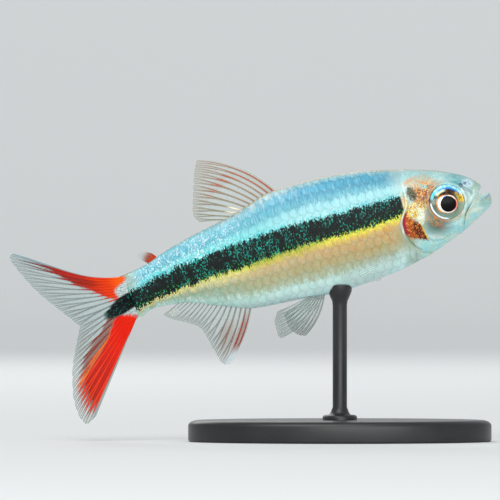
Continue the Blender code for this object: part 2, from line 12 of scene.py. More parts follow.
import bpy
import numpy as np
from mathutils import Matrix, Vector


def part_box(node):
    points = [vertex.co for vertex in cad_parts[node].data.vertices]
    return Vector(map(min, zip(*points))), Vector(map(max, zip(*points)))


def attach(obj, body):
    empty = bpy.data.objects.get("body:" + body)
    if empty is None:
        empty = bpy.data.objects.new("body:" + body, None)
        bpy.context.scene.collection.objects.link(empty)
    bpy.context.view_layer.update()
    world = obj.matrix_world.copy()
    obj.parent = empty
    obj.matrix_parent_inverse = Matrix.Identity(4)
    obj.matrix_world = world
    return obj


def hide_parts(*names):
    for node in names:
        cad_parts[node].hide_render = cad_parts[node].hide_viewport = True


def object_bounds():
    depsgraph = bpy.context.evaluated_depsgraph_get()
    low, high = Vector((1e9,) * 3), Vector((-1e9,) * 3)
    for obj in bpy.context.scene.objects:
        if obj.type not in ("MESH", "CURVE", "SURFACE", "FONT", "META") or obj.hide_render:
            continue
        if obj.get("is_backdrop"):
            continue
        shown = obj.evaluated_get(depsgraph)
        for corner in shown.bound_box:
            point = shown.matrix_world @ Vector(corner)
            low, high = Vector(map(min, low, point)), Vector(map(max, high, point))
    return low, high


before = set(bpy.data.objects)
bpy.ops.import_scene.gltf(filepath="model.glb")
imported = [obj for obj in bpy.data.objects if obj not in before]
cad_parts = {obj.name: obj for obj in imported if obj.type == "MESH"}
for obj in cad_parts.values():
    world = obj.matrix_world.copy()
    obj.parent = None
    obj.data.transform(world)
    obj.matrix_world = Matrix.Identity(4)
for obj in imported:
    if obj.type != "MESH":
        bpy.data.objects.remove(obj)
cad_box = [list(corner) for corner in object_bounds()]
print("nodes:", sorted(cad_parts))

# %% [markdown]
# ## Where things are on the fish
# A fish is measured in shares of its standard length, from the snout to the root of the tail fin. A place is
# how far behind the snout and how far above the axis it lies. The fish was drawn level and then tilted nose
# up, so one turn and one shift take a place into the room. The shift is found from the eye's solid, so the
# skin can't drift away from what it covers.

# %% The fish's own frame
STANDARD_LENGTH = 0.052
NOSE_UP = math.radians(15.0)
ROD_STATION = 0.40
EYE_AT = (0.1033, 0.0083)

TILT = np.array(
    [
        [math.cos(NOSE_UP), 0.0, -math.sin(NOSE_UP)],
        [0.0, 1.0, 0.0],
        [math.sin(NOSE_UP), 0.0, math.cos(NOSE_UP)],
    ]
)


def in_mm(length):
    """A length in millimetres, rounded to be printed."""
    return round(float(length) * 1000, 2)


def level_place(behind, aside, above):
    """Points of the level fish: shares of its length run along and up, aside is in metres to the left."""
    behind, aside, above = np.broadcast_arrays(behind, aside, above)
    return np.stack([(ROD_STATION - behind) * STANDARD_LENGTH, aside, above * STANDARD_LENGTH], -1)


def box_middle(node):
    """Middle of a node's box."""
    low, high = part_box(node)
    return (np.array(low) + np.array(high)) / 2


ORIGIN = box_middle("eye_right") * (1, 0, 1) - TILT @ level_place(EYE_AT[0], 0.0, EYE_AT[1])


def in_room(points):
    """The level fish's points turned nose up and shifted to where the solids are."""
    return points @ TILT.T + ORIGIN


def place(behind, aside, above):
    """Points in the room for places on the fish."""
    return in_room(level_place(behind, aside, above))


print("origin of the fish (mm):", [in_mm(value) for value in ORIGIN])
print("rod's middle (mm):", [in_mm(value) for value in box_middle("stand_rod")])

# %% [markdown]
# ## Camera
# The picture shows the fish from its right side, level with it, from far off with a long lens, so that it
# hardly narrows towards the back. Two facts set the view: how many millimetres one pixel covers at the fish,
# and which pixel the snout falls on.

# %% Camera
PICTURE = 500
PIXELS_PER_LENGTH = 375.74
SNOUT_PIXEL = (485.0, 195.0)
CAMERA_DISTANCE = 1.0
SENSOR_MM = 36.0

pixel = STANDARD_LENGTH / PIXELS_PER_LENGTH
snout = place(0.0, 0.0, 0.0)
right_of_middle = (SNOUT_PIXEL[0] - PICTURE / 2) * pixel
above_middle = (PICTURE / 2 - SNOUT_PIXEL[1]) * pixel
camera = bpy.data.objects.new("camera", bpy.data.cameras.new("camera"))
camera.data.sensor_width = SENSOR_MM
camera.data.lens = SENSOR_MM * CAMERA_DISTANCE / (PICTURE * pixel)
camera.data.clip_start = 0.01
camera.data.clip_end = 20.0
camera.location = (snout[0] - right_of_middle, -CAMERA_DISTANCE, snout[2] - above_middle)
camera.rotation_euler = (math.pi / 2, 0.0, 0.0)
bpy.context.collection.objects.link(camera)
bpy.context.scene.camera = camera
print("lens (mm):", round(camera.data.lens, 1), "camera at:", [round(v, 4) for v in camera.location])

# %% [markdown]
# ## Shader maths in plain Python
# A material is a net of small nodes. Wiring them one by one hides the thought behind it, so one class wraps a
# socket and lets Python's own operators add the Math nodes. A mask is then written as it is meant, such as
# `1 - stripe`.


# %% Signals
COLOUR_MIX = {"data_type": "RGBA"}
MIX_SHARE, MIX_BELOW, MIX_ABOVE, MIX_RESULT = 0, 6, 7, 2  # sockets of the Mix node when it mixes colours


class Signal:
    """A socket of a material that takes part in Python expressions."""

    def __init__(self, tree, socket):
        self.tree = tree
        self.socket = socket

    def node(self, kind, settings=None, inputs=None, output=0):
        """A new node of a type, its settings first, then the values or links of its sockets."""
        made = self.tree.nodes.new("ShaderNode" + kind)
        for name, value in (settings or {}).items():
            if name == "stops":
                spread_stops(made.color_ramp, *value)
            else:
                setattr(made, name, value)
        for key, value in (inputs or {}).items():
            if isinstance(value, Signal):
                self.tree.links.new(value.socket, made.inputs[key])
            else:
                made.inputs[key].default_value = value
        return Signal(self.tree, made.outputs[output])

    def math(self, operation, *others):
        """A Math node with this value as its first number."""
        return self.node("Math", {"operation": operation}, dict(enumerate((self, *others))))

    def __add__(self, other):
        return self.math("ADD", other)

    def __mul__(self, other):
        return self.math("MULTIPLY", other)

    def __sub__(self, other):
        return self.math("SUBTRACT", other)

    def __rsub__(self, other):
        return self.math("MULTIPLY_ADD", -1.0, other)

    def __truediv__(self, other):
        return self.math("DIVIDE", other)

    def __pow__(self, power):
        return self.math("POWER", power)

    __radd__ = __add__
    __rmul__ = __mul__

    def size(self):
        """The value without its sign."""
        return self.math("ABSOLUTE")

    def rise(self, low, high):
        """0 up to low, 1 from high on, with a soft step between; the other way round where low is larger."""
        values = {"Value": self, "From Min": low, "From Max": high}
        return self.node("MapRange", {"interpolation_type": "SMOOTHSTEP"}, values)

    def curve(self, table):
        """A smooth curve through (input, value) pairs."""
        inputs, values = np.array(table, float).T
        low, spread = values.min(), np.ptp(values)
        places = (inputs - inputs[0]) / (inputs[-1] - inputs[0])
        stops = [(at, (grey, grey, grey, 1.0)) for at, grey in zip(places, (values - low) / spread)]
        share = (self - inputs[0]) / (inputs[-1] - inputs[0])
        return share.node("ValToRGB", {"stops": ("CARDINAL", stops)}, {"Fac": share}) * spread + low

    def tinted(self, *stops):
        """A gradient through (place from 0 to 1, colour code) pairs."""
        colours = [(at, paint(code)) for at, code in stops]
        return self.node("ValToRGB", {"stops": ("EASE", colours)}, {"Fac": self})

    def under(self, colour, mask):
        """This colour with another laid over it where the mask is 1."""
        values = {MIX_SHARE: mask, MIX_BELOW: self, MIX_ABOVE: colour}
        return self.node("Mix", COLOUR_MIX, values, MIX_RESULT)

    def layered(self, *layers):
        """This colour with paints laid over it one after another, from (colour code, mask) pairs."""
        result = self
        for code, mask in layers:
            result = result.under(paint(code), mask)
        return result

    def shaded(self, colour):
        """This colour multiplied by another."""
        values = {MIX_SHARE: 1.0, MIX_BELOW: self, MIX_ABOVE: colour}
        return self.node("Mix", {**COLOUR_MIX, "blend_type": "MULTIPLY"}, values, MIX_RESULT)

    def read(self, name):
        """The numbers that a mesh carries under a name."""
        return self.node("Attribute", {"attribute_name": name}, {}, "Fac")

    def stretched(self, scale, turn=(0.0, 0.0, 0.0)):
        """A place vector scaled and turned."""
        return self.node("Mapping", {}, {"Vector": self, "Scale": scale, "Rotation": turn})

    def noise(self, scale, detail):
        """Smooth noise about one half, of so many waves to the unit and so many finer layers."""
        return self.node("TexNoise", {}, {"Vector": self, "Scale": scale, "Detail": detail}, "Fac")

    def cells(self, scale):
        """Random values for each small crumpled cell of space, as three signals."""
        crumple = self.node("TexNoise", {}, {"Vector": self, "Scale": scale * 1.3, "Detail": 4.0}, "Color")
        shift = self.node("VectorMath", {"operation": "SCALE"}, {0: crumple, "Scale": 1.4 / scale})
        moved = self.node("VectorMath", {"operation": "ADD"}, {0: self, 1: shift})
        colour = self.node("TexVoronoi", {}, {"Vector": moved, "Scale": scale}, "Color")
        parts = ("Red", "Green", "Blue")
        return [colour.node("SeparateColor", {}, {"Color": colour}, part) for part in parts]


def spread_stops(ramp, kind, stops):
    """Gives a colour ramp its kind of curve and its stops."""
    ramp.interpolation = kind
    while len(ramp.elements) < len(stops):
        ramp.elements.new(1.0)
    for element, (at, colour) in zip(ramp.elements, stops):
        element.position = at
        element.color = colour


def paint(code):
    """A colour from its usual six-figure code, as the light values that shaders use."""
    parts = [int(code[i : i + 2], 16) / 255 for i in (0, 2, 4)]
    return (*[p / 12.92 if p <= 0.04045 else ((p + 0.055) / 1.055) ** 2.4 for p in parts], 1.0)


def new_material(name):
    """A material with one glossy shader, and a signal in its tree to start from: the Object coordinates."""
    material = bpy.data.materials.new(name)
    material.use_nodes = True
    tree = material.node_tree
    coordinates = tree.nodes.new("ShaderNodeTexCoord")
    return material, tree.nodes["Principled BSDF"], Signal(tree, coordinates.outputs["Object"])


def feed(shader, values):
    """Sets sockets of the shader to signals or numbers."""
    for name, value in values.items():
        if isinstance(value, Signal):
            value.tree.links.new(value.socket, shader.inputs[name])
        else:
            shader.inputs[name].default_value = value


def bumped(height, strength, distance):
    """A bump that feeds a shader's Normal."""
    values = {"Height": height, "Strength": strength, "Distance": distance}
    return height.node("Bump", {}, values, "Normal")


print("a colour:", [round(v, 3) for v in paint("78b8dc")])

# %% [markdown]
# ## Studio
# The surroundings are a round studio: a pale floor that curves up to a low rim on every side, so that the
# model can be seen from anywhere. Its profile is turned about the upright axis. The pale sky gives most of
# the light, a wide soft sun the direction, and small lamps the highlights.

# %% Floor and light
FLOOR_RADIUS = 1.7
RIM_BEND = 0.6
FLOOR_SIDES = 96
SHARP_ANGLE = math.radians(55.0)


def grid_faces(rows, columns, around=False):
    """Quads of a grid of points; the last column joins the first where it goes around."""
    number = np.arange(rows * columns).reshape(rows, columns)
    if around:
        number = np.concatenate([number, number[:, :1]], 1)
    corners = (number[:-1, :-1], number[:-1, 1:], number[1:, 1:], number[1:, :-1])
    return np.stack(corners, -1).reshape(-1, 4)


def mesh_object(name, points, faces, materials=()):
    """An object from arrays of points and of faces."""
    mesh = bpy.data.meshes.new(name)
    mesh.from_pydata(np.asarray(points, float).reshape(-1, 3), [], [list(face) for face in faces])
    mesh.shade_smooth()
    mesh.set_sharp_from_angle(angle=SHARP_ANGLE)
    for material in materials:
        mesh.materials.append(material)
    thing = bpy.data.objects.new(name, mesh)
    bpy.context.collection.objects.link(thing)
    return thing


def give_values(thing, name, values):
    """One number for each point of a mesh, which a material can read by its name."""
    layer = thing.data.attributes.new(name, "FLOAT", "POINT")
    layer.data.foreach_set("value", np.asarray(values, np.float32).ravel())


def turned(profile, middle, sides, stretch=(1.0, 1.0)):
    """A profile of (radius, height) pairs carried round the upright axis."""
    radius, height = np.array(profile).T
    turn = np.arange(sides) * 2 * math.pi / sides
    x = middle[0] + radius[:, None] * stretch[0] * np.cos(turn)
    y = middle[1] + radius[:, None] * stretch[1] * np.sin(turn)
    return np.stack([x, y, np.repeat(height[:, None], sides, 1)], -1)


def studio_shell():
    """The floor's profile, a flat run and a quarter circle up to a rim, turned about the upright axis."""
    bend = np.linspace(0.0, math.pi / 2, 24)
    flat = [(0.0005, 0.0), (0.1, 0.0), (0.4, 0.0), (0.8, 0.0)]
    rim = np.stack([FLOOR_RADIUS + RIM_BEND * np.sin(bend), RIM_BEND * (1 - np.cos(bend))], -1)
    return turned(np.concatenate([flat, rim]), (0.0, 0.0), FLOOR_SIDES)


shell_points = studio_shell()
shell_faces = grid_faces(*shell_points.shape[:2], around=True)[:, ::-1].tolist()
shell_faces.append(list(range(FLOOR_SIDES)))
backdrop, backdrop_shader, _ = new_material("pale_backdrop")
feed(backdrop_shader, {"Base Color": paint("e6e8e8"), "Roughness": 0.9})
floor = mesh_object("floor", shell_points, shell_faces, [backdrop])
floor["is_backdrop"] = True
fish_middle = place(0.5, 0.0, 0.0)


def soft_lamp(name, at, width, height, watts):
    """A flat rectangular lamp that faces the middle of the fish."""
    light = bpy.data.lights.new(name, "AREA")
    light.shape = "RECTANGLE"
    light.size = width
    light.size_y = height
    light.energy = watts
    lamp = bpy.data.objects.new(name, light)
    lamp.location = at
    ahead = fish_middle - np.array(at)
    across = math.hypot(ahead[0], ahead[1])
    lamp.rotation_euler = (math.pi / 2 + math.atan2(ahead[2], across), 0.0, math.atan2(-ahead[0], ahead[1]))
    bpy.context.collection.objects.link(lamp)


soft_lamp("key_lamp", (-0.10, -0.40, 0.42), width=0.35, height=0.25, watts=0.55)
soft_lamp("low_lamp", (0.12, -0.62, 0.11), width=0.50, height=0.18, watts=1.25)
soft_lamp("back_lamp", (-0.20, 0.60, 0.42), width=0.5, height=0.3, watts=1.1)
sky_lamp = bpy.data.lights.new("sky_lamp", "SUN")
sky_lamp.energy = 0.80
sky_lamp.angle = math.radians(50.0)
sky_lamp_holder = bpy.data.objects.new("sky_lamp", sky_lamp)
sky_lamp_holder.rotation_euler = (math.radians(42.0), 0.0, math.radians(-14.0))
bpy.context.collection.objects.link(sky_lamp_holder)
world = bpy.data.worlds.new("pale_sky")
world.use_nodes = True
sky = world.node_tree.nodes["Background"].inputs
sky["Color"].default_value = (0.92, 0.95, 0.97, 1.0)
sky["Strength"].default_value = 0.55
bpy.context.scene.world = world
bpy.context.scene.view_settings.view_transform = "Standard"
print("studio floor radius (m):", FLOOR_RADIUS)

# %% [markdown]
# ## The shape of the body
# A fish's body is easiest to give as cross sections. A short table holds the back, the belly and the half
# width at a few stations; a smooth curve that adds no bumps of its own runs through them. Across a section
# the flank is a rounded arc. The head's skin is the same shape, cut short at the mouth: there its lower line
# is the edge of the upper jaw.

# %% Sections
BODY = (
    (-0.0145, -0.0100, -0.0100, 0.0000),  # behind, back, belly, half width; tip of the lower jaw
    (0.0060, 0.0320, -0.0385, 0.0210),  # snout
    (0.0300, 0.0565, -0.0535, 0.0345),  # nostrils
    (0.1000, 0.0930, -0.0865, 0.0540),  # eye
    (0.2000, 0.1240, -0.1215, 0.0655),  # gill cover
    (0.3000, 0.1475, -0.1410, 0.0700),  # shoulder
    (0.4500, 0.1610, -0.1505, 0.0665),  # deepest
    (0.5370, 0.1590, -0.1430, 0.0600),  # front of the dorsal fin
    (0.6670, 0.1230, -0.1340, 0.0470),  # front of the anal fin
    (0.7600, 0.1045, -0.1030, 0.0360),  # middle of the anal fin
    (0.8560, 0.0800, -0.0700, 0.0255),  # end of the anal fin
    (0.9300, 0.0540, -0.0640, 0.0185),  # narrowest
    (1.0000, 0.0425, -0.0850, 0.0130),  # root of the tail fin
)
WIDEST_HEIGHT = 0.56
BACK_FULLNESS = 0.92
BELLY_FULLNESS = 1.12
UPPER_JAW_EDGE = (
    (0.0050, 0.0240),  # behind, height
    (0.0085, 0.0202),
    (0.0125, 0.0178),
    (0.0152, 0.0150),
    (0.0168, 0.0045),
    (0.0435, -0.0187),
    (0.0633, -0.0410),
    (0.0774, -0.0730),
    (0.0840, -0.1200),
)
SNOUT_TIP = (0.0050, 0.0245)
SNOUT_ROUND = 0.004
TAIL_END = 0.996
TINY = 1e-12  # stands in for a length of 0 where one divides


def smooth_curve(knots, values, wanted):
    """Values at the wanted places on a cubic through the knots whose slope is 0 at each crest."""
    knots, values, wanted = (np.asarray(a, float) for a in (knots, values, wanted))
    step = np.diff(knots)
    slope = np.diff(values) / step
    tangent = np.concatenate([slope[:1], np.zeros(len(knots) - 2), slope[-1:]])
    same_way = slope[:-1] * slope[1:] > 0
    before, after = 2 * step[1:] + step[:-1], step[1:] + 2 * step[:-1]
    safe = np.where(same_way, slope[:-1] * slope[1:], 1.0)
    mean = (before + after) * safe / (before * slope[1:] + after * slope[:-1] + ~same_way)
    tangent[1:-1] = np.where(same_way, mean, 0.0)
    i = np.clip(np.searchsorted(knots, wanted) - 1, 0, len(step) - 1)
    t = (wanted - knots[i]) / step[i]
    rise = values[i] * (1 + 2 * t) * (1 - t) ** 2 + values[i + 1] * t**2 * (3 - 2 * t)
    turn = tangent[i] * t * (1 - t) ** 2 - tangent[i + 1] * t**2 * (1 - t)
    return rise + turn * step[i]


def section(behind):
    """Back, widest height, belly and half width at a distance behind the snout, as shares of the length."""
    stations = np.array(BODY)
    nose = stations[0, 0]
    knots = np.sqrt(stations[:, 0] - nose)
    wanted = np.sqrt(np.maximum(np.asarray(behind, float) - nose, 0.0))
    back, belly, half = (smooth_curve(knots, stations[:, i], wanted) for i in (1, 2, 3))
    return back, belly + WIDEST_HEIGHT * (back - belly), belly, half


def half_width(behind, above):
    """Half width of the body in metres at a height: the section's half width times a rounded arc."""
    back, widest, belly, half = section(behind)
    upper = np.asarray(above) > widest
    reach = np.maximum(np.where(upper, back - widest, widest - belly), TINY)
    share = np.clip((above - widest) / reach, -1.0, 1.0)
    fullness = np.where(upper, BACK_FULLNESS, BELLY_FULLNESS)
    return half * np.sqrt(1 - share**2) ** fullness * STANDARD_LENGTH


def step_up(values, low, high):
    """0 up to low and 1 from high on, with a soft step between."""
    t = np.clip((values - low) / (high - low), 0.0, 1.0)
    return t * t * (3 - 2 * t)


def skin_section(behind, share):
    """A point of the flank's skin: height and half width at a share of the way from back to belly.

    The share turns into a height by a cosine, so that points crowd where the skin turns over the back.
    """
    back, _, belly, _ = section(behind)
    edge = np.array(UPPER_JAW_EDGE)
    jaw = np.where(behind < edge[-1, 0], smooth_curve(edge[:, 0], edge[:, 1], behind), -1.0)
    low = np.maximum(belly, jaw)
    tip = np.sqrt(np.clip((behind - SNOUT_TIP[0]) / SNOUT_ROUND, 0.0, 1.0))
    top = SNOUT_TIP[1] + (back - SNOUT_TIP[1]) * tip
    low = SNOUT_TIP[1] + (low - SNOUT_TIP[1]) * tip
    down = (1 - np.cos(np.pi * share)) / 2
    above = top + (low - top) * down
    palate = 1 - step_up(behind, 0.076, 0.090)
    rounding = 1 - palate * (1 - np.sqrt(1 - down**26))
    return above, half_width(behind, above) * rounding * tip**0.6


nose_rows = SNOUT_TIP[0] + 0.012 * np.linspace(0.0, 1.0, 24)[1:] ** 1.7
head_rows = np.linspace(nose_rows[-1], 0.245, 160)[1:]
body_rows = np.linspace(head_rows[-1], TAIL_END, 118)[1:]
ROWS = np.concatenate([nose_rows, head_rows, body_rows])
COLUMNS = 120


def even_shares():
    """For each row of the skin, the shares that space its columns evenly along the section's arc."""
    fine = np.linspace(0.0, 1.0, 361)
    above, aside = skin_section(ROWS[:, None], fine[None, :])
    runs = np.hypot(np.diff(above, axis=1) * STANDARD_LENGTH, np.diff(aside, axis=1))
    arcs = np.concatenate([np.zeros((len(ROWS), 1)), np.cumsum(runs, 1)], 1)
    girth = arcs[:, -1]
    even = np.linspace(0.0, 1.0, COLUMNS + 1)
    shares = np.array([np.interp(even * arc[-1], arc, fine) for arc in arcs])
    return shares, girth


SHARES, GIRTH = even_shares()
print("rows", len(ROWS), "columns", COLUMNS, "widest girth of a flank (mm)", in_mm(GIRTH.max()))

# %% [markdown]
# ## Fine forms of the skin
# A head is not a smooth egg. Bones show through its thin skin: a rim round the eye, the plates of the cheek,
# the ridge before the gill cover, and the long bone of the upper jaw. Each is a line or ring, and the skin
# rises or sinks by a few hundredths of a millimetre with the distance from it. Where the scales lie, the
# whole skin is sunk by the coat's depth, so that their edges end where the solid's surface is.

# %% Relief
EYE_RADIUS = 0.00246
COAT_DEPTH = 0.00008
EYE_RIM = (
    (0.00007, 0.00020, 0.00016),  # rise, distance outside the eye, width of each ring round it
    (-0.00005, 0.00062, 0.00016),
    (0.00003, 0.00095, 0.00020),
)
NOSTRILS = ((0.0450, 0.0440, 0.00020), (0.0565, 0.0425, 0.00029))  # behind, height, radius
GILL_EDGE = (
    (0.2050, 0.0600),  # behind, height
    (0.2105, 0.0261),
    (0.2310, -0.0052),
    (0.2355, -0.0371),
    (0.2285, -0.0671),
    (0.2150, -0.0886),
    (0.1974, -0.1040),
    (0.1700, -0.1140),
)
CHEEK_RIDGE = (
    (0.1700, 0.0420),
    (0.1690, 0.0250),
    (0.1850, -0.0100),
    (0.1869, -0.0272),
    (0.1810, -0.0650),
    (0.1650, -0.0830),
    (0.1350, -0.0850),
    (0.1050, -0.0760),
)
CHEEK_SEAMS = (
    ((0.1520, -0.0010), (0.1790, -0.0090)),
    ((0.1430, -0.0280), (0.1660, -0.0520)),
    ((0.1180, -0.0430), (0.1270, -0.0740)),
    ((0.0810, -0.0350), (0.0770, -0.0520)),
    ((0.1400, 0.0380), (0.1620, 0.0560)),
)
THROAT_FOLDS = (
    ((0.2120, -0.0960), (0.1700, -0.1010), (0.1250, -0.0930)),
    ((0.2000, -0.1080), (0.1650, -0.1110), (0.1250, -0.1010)),
)
SCALES_START = (
    (-0.130, 0.205),  # height, where the coat begins behind the snout
    (-0.095, 0.222),
    (-0.050, 0.240),
    (0.000, 0.236),
    (0.050, 0.214),
    (0.110, 0.200),
)


def crest(value, middle, width):
    """A rounded crest of height 1 at the middle value."""
    return np.exp(-(((value - middle) / width) ** 2))


def line_distance(behind, above, line):
    """Distance in metres from a line of places, counted negative on the snout's side of a line that falls."""
    points = np.stack(np.broadcast_arrays(behind, above), -1) * STANDARD_LENGTH
    line = np.array(line) * STANDARD_LENGTH
    nearest = np.full(points.shape[:-1], np.inf)
    signed = nearest.copy()
    for start, end in zip(line[:-1], line[1:]):
        run = end - start
        share = np.clip((points - start) @ run / (run @ run), 0.0, 1.0)
        off = points - start - share[..., None] * run
        distance = np.hypot(off[..., 0], off[..., 1])
        closer = distance < nearest
        side = np.where(run[0] * off[..., 1] - run[1] * off[..., 0] < 0, -1.0, 1.0)
        signed = np.where(closer, side * distance, signed)
        nearest = np.minimum(nearest, distance)
    return signed


def scales_begin(above):
    """How far behind the snout the coat of scales begins at a height."""
    height, start = np.array(SCALES_START).T
    return np.interp(above, height, start)


def relief(behind, above):
    """Height in metres of the fine forms over the smooth body: sums of rounded crests and soft steps."""
    coat = step_up(behind - scales_begin(above), -0.010, 0.002)
    height = -0.00002 - (COAT_DEPTH - 0.00002) * coat
    eye = np.hypot(behind - EYE_AT[0], above - EYE_AT[1]) * STANDARD_LENGTH
    height -= 0.0007 * (1 - step_up(eye, EYE_RADIUS * 0.95, EYE_RADIUS * 1.01))
    for rise, away, width in EYE_RIM:
        height += rise * crest(eye, EYE_RADIUS + away, width)
    for at_behind, at_above, radius in NOSTRILS:
        away = np.hypot(behind - at_behind, above - at_above) * STANDARD_LENGTH
        height -= 0.00024 * (1 - step_up(away, radius * 0.55, radius))
        height += 0.00005 * crest(away, radius * 1.2, 0.00009)
    jaw = np.abs(line_distance(behind, above, UPPER_JAW_EDGE))
    height += 0.00006 * (1 - step_up(jaw, 0.00050, 0.00075)) - 0.00005 * crest(jaw, 0.00082, 0.00012)
    ridge = line_distance(behind, above, CHEEK_RIDGE)
    height += 0.00005 * crest(ridge, -0.00018, 0.00018) - 0.00008 * crest(ridge, 0.00012, 0.00015)
    gill = line_distance(behind, above, GILL_EDGE)
    opening = 0.00004 * crest(gill, 0.00045, 0.00022) - 0.00022 * crest(gill, 0.00002, 0.00016)
    height += opening * step_up(above, -0.112, -0.080)
    for seam in CHEEK_SEAMS:
        height -= 0.00003 * crest(line_distance(behind, above, seam), 0.0, 0.00011)
    for fold in THROAT_FOLDS:
        height -= 0.00003 * crest(line_distance(behind, above, fold), 0.0, 0.00014)
    return height


print("gill opening's edge (mm behind the snout):", in_mm(GILL_EDGE[3][0] * STANDARD_LENGTH))

# %% [markdown]
# ## The skin
# The solids have gaps between head, trunk and tail, because each is a part of its own. Real skin has no gap,
# so one closed surface stands for all three. It is a grid: rows from snout to tail, columns from the back
# down the left flank and up the right. Rows stand closer on the head, where the forms are finer. At the tail
# the skin thins out between the roots of the fin's rays, as scales and flesh do on the real fish.

# %% The skin's grid
TAIL_SLANT = 0.1275
TAIL_TOP = 0.0425
TAIL_THIN_FROM = 0.955
TAIL_THINNING = 0.88


def unit(vectors):
    """Vectors of length 1 in the same directions; one without a length stays 0."""
    return vectors / np.maximum(np.linalg.norm(vectors, axis=-1, keepdims=True), TINY)


def outward(rings):
    """Unit normals of a closed set of rings, from the neighbours' differences."""
    around = np.roll(rings, -1, 1) - np.roll(rings, 1, 1)
    return unit(np.cross(around, np.gradient(rings, axis=0)))


def capped(rings):
    """Points and faces of rings joined in a row, each end closed by a fan round its middle."""
    rows, around = rings.shape[:2]
    points = np.concatenate([rings.reshape(-1, 3), [rings[0].mean(0)], [rings[-1].mean(0)]])
    here = np.arange(around)
    there = (here + 1) % around
    first = np.stack([there, here, np.full(around, rows * around)], -1)
    after = (rows - 1) * around
    last = np.stack([here + after, there + after, np.full(around, rows * around + 1)], -1)
    return points, grid_faces(rows, around, around=True).tolist() + first.tolist() + last.tolist()


def sheet(near, far):
    """Points and faces of a thin sheet with two sides, sewn together along all four edges."""
    rows, columns = near.shape[:2]
    rings = np.concatenate([near, far[:, ::-1]], 1)
    here = np.arange(columns - 1)
    there = 2 * columns - 1 - here
    first = np.stack([here, there, there - 1, here + 1], -1)
    last = np.stack([here + 1, there - 1, there, here], -1) + (rows - 1) * 2 * columns
    faces = np.concatenate([grid_faces(rows, 2 * columns, around=True), first, last])
    return rings.reshape(-1, 3), faces[:, ::-1].tolist()


def skin_rings():
    """The smooth skin, then moved along its normals by the relief."""
    above, aside = skin_section(ROWS[:, None], SHARES)
    slant = TAIL_SLANT * (TAIL_TOP - above) * step_up(ROWS, 0.90, 0.99)[:, None]
    behind = ROWS[:, None] - slant
    thin = np.clip((ROWS - TAIL_THIN_FROM) / (TAIL_END - TAIL_THIN_FROM), 0.0, 1.0)[:, None]
    aside = aside * (1 - TAIL_THINNING * thin**2.2)
    both = [np.concatenate([a, a[:, -2:0:-1]], 1) for a in (behind, above)]
    width = np.concatenate([aside, -aside[:, -2:0:-1]], 1)
    smooth = place(both[0], width, both[1])
    normal = outward(smooth)
    shaped = smooth + normal * relief(*both)[..., None]
    return shaped, outward(shaped)


skin_points, skin_normals = skin_rings()
points, faces = capped(skin_points)
skin = mesh_object("skin", points, faces)
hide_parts("head", "trunk", "tail_stem")
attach(skin, "root")
print("skin faces:", len(faces))

# %% [markdown]
# ## The lower jaw
# The lower jaw of this fish juts out a little before the upper one. It is a piece of its own, so that a real
# edge shows where the upper jaw's bone overlaps it. Its own table gives the height of its rim, the depth of
# the chin and the half width. Rings run round chin and flanks, and their last columns close the floor of the
# mouth, which is sunk between the lips.

# %% Lower jaw
JAW = (
    (-0.0146, 0.0022, -0.0215, 0.0060),  # behind, rim, chin, half width
    (-0.0110, 0.0046, -0.0272, 0.0115),
    (-0.0068, 0.0050, -0.0312, 0.0152),
    (0.0000, 0.0053, -0.0356, 0.0190),
    (0.0060, 0.0047, -0.0390, 0.0213),
    (0.0130, 0.0036, -0.0435, 0.0250),
    (0.0180, 0.0062, -0.0467, 0.0276),
    (0.0300, -0.0040, -0.0535, 0.0340),
    (0.0435, -0.0155, -0.0600, 0.0392),
    (0.0633, -0.0375, -0.0692, 0.0448),
    (0.0760, -0.0600, -0.0755, 0.0478),
    (0.0860, -0.0650, -0.0800, 0.0500),
)
JAW_FRONT = 0.0062
JAW_LIP_HEIGHT = -0.0090
JAW_WIDEST_HEIGHT = 0.012
JAW_SIDE_COLUMNS = 26
JAW_FLOOR_COLUMNS = 9


